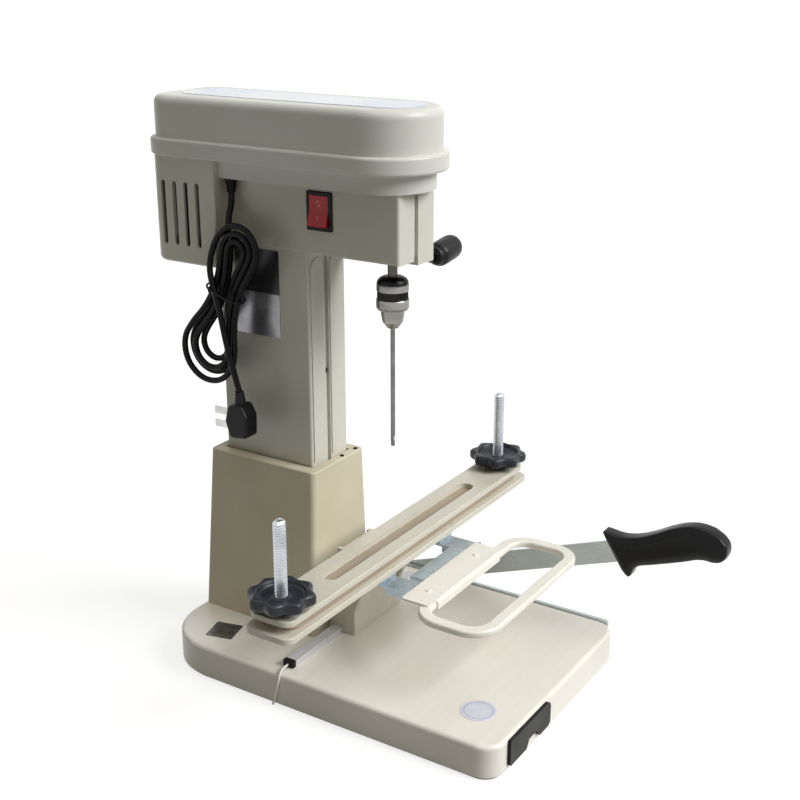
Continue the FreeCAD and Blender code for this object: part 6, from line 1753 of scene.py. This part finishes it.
@dataclass
class ThreadedStud:
    """A threaded stud with a chamfered, dimpled end and a hexagonal head."""

    radius: float = 5.0
    pitch: float = 2.0
    depth: float = 1.05
    low: float = 109.1
    high: float = 199.2
    crest: Profile = ((0.0, 0.0), (0.0, 0.12), (1.0, 0.42), (1.0, 0.58), (0.0, 0.88), (0.0, 1.0))
    merge_within: float = 0.002
    chamfer: float = 1.3
    chamfer_scale: float = 0.74
    dimple_inset: float = 1.5
    dimple_depth: float = 0.7
    head_radius: float = 8.5
    head_height: float = 5.0
    head_inset: float = 1.3
    head_corner: float = 0.8
    head_edge: float = 0.25
    steps: int = 24

    def build(self, name: str, foot: Vector) -> bpy.types.Object:
        """Winds the thread, trims its ends and adds the head.

        Args:
            name: The piece's name.
            foot: The stud's axis at the table's height.

        Returns:
            The stud.
        """
        turns = math.ceil((self.high - self.low) / self.pitch) + 2
        start = self.low - self.pitch
        root = self.radius - self.depth
        points = [foot + Vector(((root + out * self.depth) * MM, 0, (start + share * self.pitch) * MM))
                  for out, share in self.crest]
        stud = draw_line(name, points)
        put_tools_down()
        bpy.context.scene.cursor.location = foot
        take(stud)
        bpy.ops.object.origin_set(type="ORIGIN_CURSOR")
        use_modifier(stud, "SCREW", axis="Z", angle=2 * math.pi, screw_offset=self.pitch * MM, iterations=turns,
                     steps=self.steps, render_steps=self.steps, use_merge_vertices=True,
                     merge_threshold=self.merge_within * MM)
        close_shell(stud)
        top = self.high - self.chamfer
        self.trim(foot + Vector((0, 0, self.low * MM)), Vector((0, 0, -1)))
        self.trim(foot + Vector((0, 0, top * MM)), Vector((0, 0, 1)))
        centre = foot + Vector((0, 0, top * MM))
        pick_faces(stud, lambda middle, way: middle.z > (top - 0.01) * MM and way.z > FACING)
        pull_picked(Vector((0, 0, self.chamfer * MM)))
        scale_picked((self.chamfer_scale, self.chamfer_scale, 1.0), centre)
        bpy.ops.mesh.inset(thickness=self.dimple_inset * MM, depth=0.0)
        bpy.ops.transform.translate(value=(0, 0, -self.dimple_depth * MM))
        close_shell(stud)
        put_tools_down()
        return join_pieces([stud, self.make_head(name, foot)])

    @staticmethod
    def trim(place: Vector, way: Vector) -> None:
        """Cuts the open mesh off square and closes the cut.

        Args:
            place: A point of the cut.
            way: The side that is cut off.
        """
        bpy.ops.mesh.select_all(action="SELECT")
        bpy.ops.mesh.bisect(plane_co=tuple(place), plane_no=tuple(way), use_fill=True, clear_outer=True,
                            threshold=0.001 * MM)

    def make_head(self, name: str, foot: Vector) -> bpy.types.Object:
        """The hexagonal head under the bar.

        Args:
            name: The stud's name.
            foot: The stud's axis at the table's height.

        Returns:
            The head.
        """
        middle = foot + Vector((0, 0, (self.low - self.head_height / 2) * MM))
        put_tools_down()
        bpy.ops.mesh.primitive_cylinder_add(vertices=6, radius=self.head_radius * MM,
                                            depth=(self.head_height - 0.02) * MM, location=middle)
        head = bpy.context.object
        head.name = name + "_head"
        open_mesh(head)
        pick_faces(head, lambda centre, way: way.z < -FACING)
        bpy.ops.mesh.inset(thickness=self.head_inset * MM, depth=0.0)
        bpy.ops.transform.translate(value=(0, 0, -0.01 * MM))
        pick_points(head, lambda p: abs(p.z - (middle.z - self.head_height / 2 * MM)) < 0.015 * MM
                    and math.hypot(p.x - middle.x, p.y - middle.y) > (self.head_radius - 0.2) * MM)
        bpy.ops.transform.translate(value=(0, 0, self.head_corner * MM))
        put_tools_down()
        use_modifier(head, "BEVEL", width=self.head_edge * MM, segments=2, limit_method="ANGLE",
                     angle_limit=math.radians(25))
        return head


@dataclass
class StarKnob:
    """A moulded star knob: rounded lobes, a thick rim, a wide dish and a hub below, bored for the stud."""

    lobes: int = 8
    points_per_lobe: int = 12
    valley: float = 0.15
    valley_from: float = 22.0
    valley_shape: float = 1.7
    profile: Profile = (
        (5.3, 0.0), (11.2, 0.0), (12.0, 0.7), (12.0, 3.5), (13.2, 4.5), (16.0, 4.9), (22.4, 5.0), (24.6, 5.3),
        (26.2, 6.3), (27.0, 8.0), (27.0, 12.2), (26.5, 13.6), (25.4, 14.6), (24.0, 15.0), (20.7, 15.0),
        (19.6, 14.7), (18.9, 13.9), (18.5, 12.6), (17.9, 11.3), (16.6, 10.6), (14.0, 10.3), (8.2, 10.2),
        (7.2, 10.5), (6.5, 11.1), (5.3, 11.2), (5.3, 0.0))

    def build(self, name: str, foot: Vector) -> bpy.types.Object:
        """Turns the knob and draws in the valleys between its lobes.

        Args:
            name: The piece's name.
            foot: The middle of the hub's underside.

        Returns:
            The knob.
        """
        count = self.lobes * self.points_per_lobe
        knob = spin_profile(name, self.profile, foot, Vector((0, 0, 1)), count)
        step = 2 * math.pi / count
        half = self.points_per_lobe // 2

        def from_valley(point: Vector) -> int:
            """How many lines a point is from the middle of its valley."""
            index = round(math.atan2(point.y - foot.y, point.x - foot.x) / step) % self.points_per_lobe
            return min(index, self.points_per_lobe - index)

        def outside(point: Vector) -> bool:
            """Whether a point is in the part of the knob that has lobes."""
            return math.hypot(point.x - foot.x, point.y - foot.y) > self.valley_from * MM

        open_mesh(knob, "VERT")
        for column in range(half):
            share = 1 - self.valley * math.cos(math.pi * column / (2 * half)) ** self.valley_shape
            pick_points(knob, lambda point, column=column: from_valley(point) == column and outside(point))
            scale_picked((share, share, 1.0), foot)
        put_tools_down()
        return knob


@dataclass
class ClampCarriage:
    """The carriage: saddle, clamp bars, threaded studs, star knobs, hinge and loop handle."""

    stud: ThreadedStud = field(default_factory=ThreadedStud)
    knob: StarKnob = field(default_factory=StarKnob)

    def build(self, bench: Bench) -> None:
        """Dresses the carriage and makes its studs and knobs.

        Args:
            bench: The bench that all pieces share.
        """
        bench.dress(Look.BAR, "saddle", "lower_bar", "back_gauge", "upper_bar")
        bench.dress(Look.BED, "clamp_bed")
        bench.dress(Look.ZINC, "hinge_fixed_leaves", "hinge_moving_leaves")
        bench.dress(Look.HANDLE, "handle_plate", "loop_handle")
        self.make_studs(bench)
        self.make_knobs(bench)

    def make_studs(self, bench: Bench) -> None:
        """Makes both studs as one piece, as their node has them.

        Args:
            bench: The bench that all pieces share.
        """
        low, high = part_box("clamp_studs")
        reach = self.stud.head_radius * MM
        places = [Vector((low.x + reach, bench.axis.y, 0)), Vector((high.x - reach, bench.axis.y, 0))]
        first = self.stud.build("threaded_studs", places[0])
        second = self.stud.build("second_stud", places[1])
        studs = settle(join_pieces([first, second]), sharp_at=30.0)
        bench.add(studs, Look.STUD, "carriage", "zinc", ["clamp_studs"])

    def make_knobs(self, bench: Bench) -> None:
        """Makes one knob and copies it for the other side.

        Args:
            bench: The bench that all pieces share.
        """
        left_low, left_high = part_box("left_knob")
        right_low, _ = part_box("right_knob")
        foot = Vector(((left_low.x + left_high.x) / 2, (left_low.y + left_high.y) / 2, left_low.z))
        left = settle(self.knob.build("left_star_knob", foot), sharp_at=40.0)
        right = copy_piece(left, "right_star_knob", Vector((right_low.x - left_low.x, 0, 0)))
        bench.add(left, Look.KNOB, "knob_l", "knob_grey", ["left_knob"])
        bench.add(right, Look.KNOB, "knob_r", "knob_grey", ["right_knob"])


# ---------------------------------------------------------------- knife


@dataclass
class TrimmingKnife:
    """The knife on the base's right edge: its blades, bolt and the moulded handle with a pointed guard."""

    outline: Profile = (
        (-140.4, 118.6), (-145.5, 118.6), (-151.5, 117.6), (-159.5, 117.3), (-168.2, 119.0), (-177.2, 122.3),
        (-188.1, 127.9), (-198.9, 134.4), (-209.5, 139.6), (-219.2, 142.7), (-227.8, 143.5), (-237.6, 142.0),
        (-246.0, 137.6), (-251.4, 131.8), (-252.6, 125.2), (-251.0, 119.3), (-246.4, 115.3), (-240.0, 114.0),
        (-233.5, 114.6), (-227.0, 113.3), (-214.3, 107.8), (-201.2, 102.8), (-188.0, 97.9), (-176.8, 94.2),
        (-171.8, 90.4), (-170.2, 85.2), (-168.6, 80.6), (-165.2, 81.4), (-159.8, 87.1), (-154.6, 95.4),
        (-149.4, 103.7), (-144.1, 112.0))
    half_edge: float = 7.8
    half_middle: float = 10.2
    crown_inset: float = 4.2
    smoothing: int = 60
    smooth_share: float = 0.6
    voxel: float = 0.9

    def build(self, bench: Bench) -> None:
        """Dresses the blades and shapes the handle.

        Args:
            bench: The bench that all pieces share.
        """
        bench.dress(Look.STEEL, "fixed_blade", "knife_blade")
        bench.dress(Look.ZINC, "knife_bolt")
        low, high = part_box("knife_handle")
        middle = (low.x + high.x) / 2
        side = middle - self.half_edge * MM
        points = [Vector((side, bench.axis.y + y * MM, z * MM)) for y, z in self.outline]
        handle = draw_line("knife_grip", points)
        bpy.ops.mesh.select_all(action="SELECT")
        bpy.ops.mesh.edge_face_add()
        pull_picked(Vector((2 * self.half_edge * MM, 0, 0)))
        bpy.ops.mesh.select_all(action="SELECT")
        bpy.ops.mesh.normals_make_consistent(inside=False)
        rise = self.half_middle - self.half_edge
        for face_side in (-1, 1):
            pick_faces(handle, lambda centre, way, face_side=face_side: way.x * face_side > FACING)
            bpy.ops.mesh.inset(thickness=self.crown_inset * MM, depth=0.0)
            pull_picked(Vector((face_side * rise * MM, 0, 0)))
        put_tools_down()
        use_modifier(handle, "REMESH", mode="VOXEL", voxel_size=self.voxel * MM)
        use_modifier(handle, "SMOOTH", factor=self.smooth_share, iterations=self.smoothing)
        settle(handle, sharp_at=60.0)
        bench.add(handle, Look.GRIP, "knife", "black", ["knife_handle"])


def main() -> None:
    """Builds the scene round the frame."""
    logging.basicConfig(level=logging.INFO, format="%(name)s: %(message)s")
    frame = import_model()
    low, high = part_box("drill_bit")
    axis = Vector(((low.x + high.x) / 2, (low.y + high.y) / 2, 0.0))
    plate_low, plate_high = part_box("rating_plate")
    finishes = Finishes(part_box("top_label"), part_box("base_labels"), axis, (plate_low.z + plate_high.z) / 2)
    bench = Bench(frame["nodes"], finishes, axis)
    Studio().build()
    for group in (MainsLead(), BinderThread(), BaseAndDrawer(), HeadAndColumn(), SpindleAndChuck(), FeedLever(),
                  ClampCarriage(), TrimmingKnife()):
        group.build(bench)
        log.info("%s is built", type(group).__name__)
    left_out = sorted(set(bench.nodes) - bench.dressed)
    if left_out:
        log.warning("nodes without a finish: %s", ", ".join(left_out))
    put_tools_down()


if __name__ == "__main__":
    main()
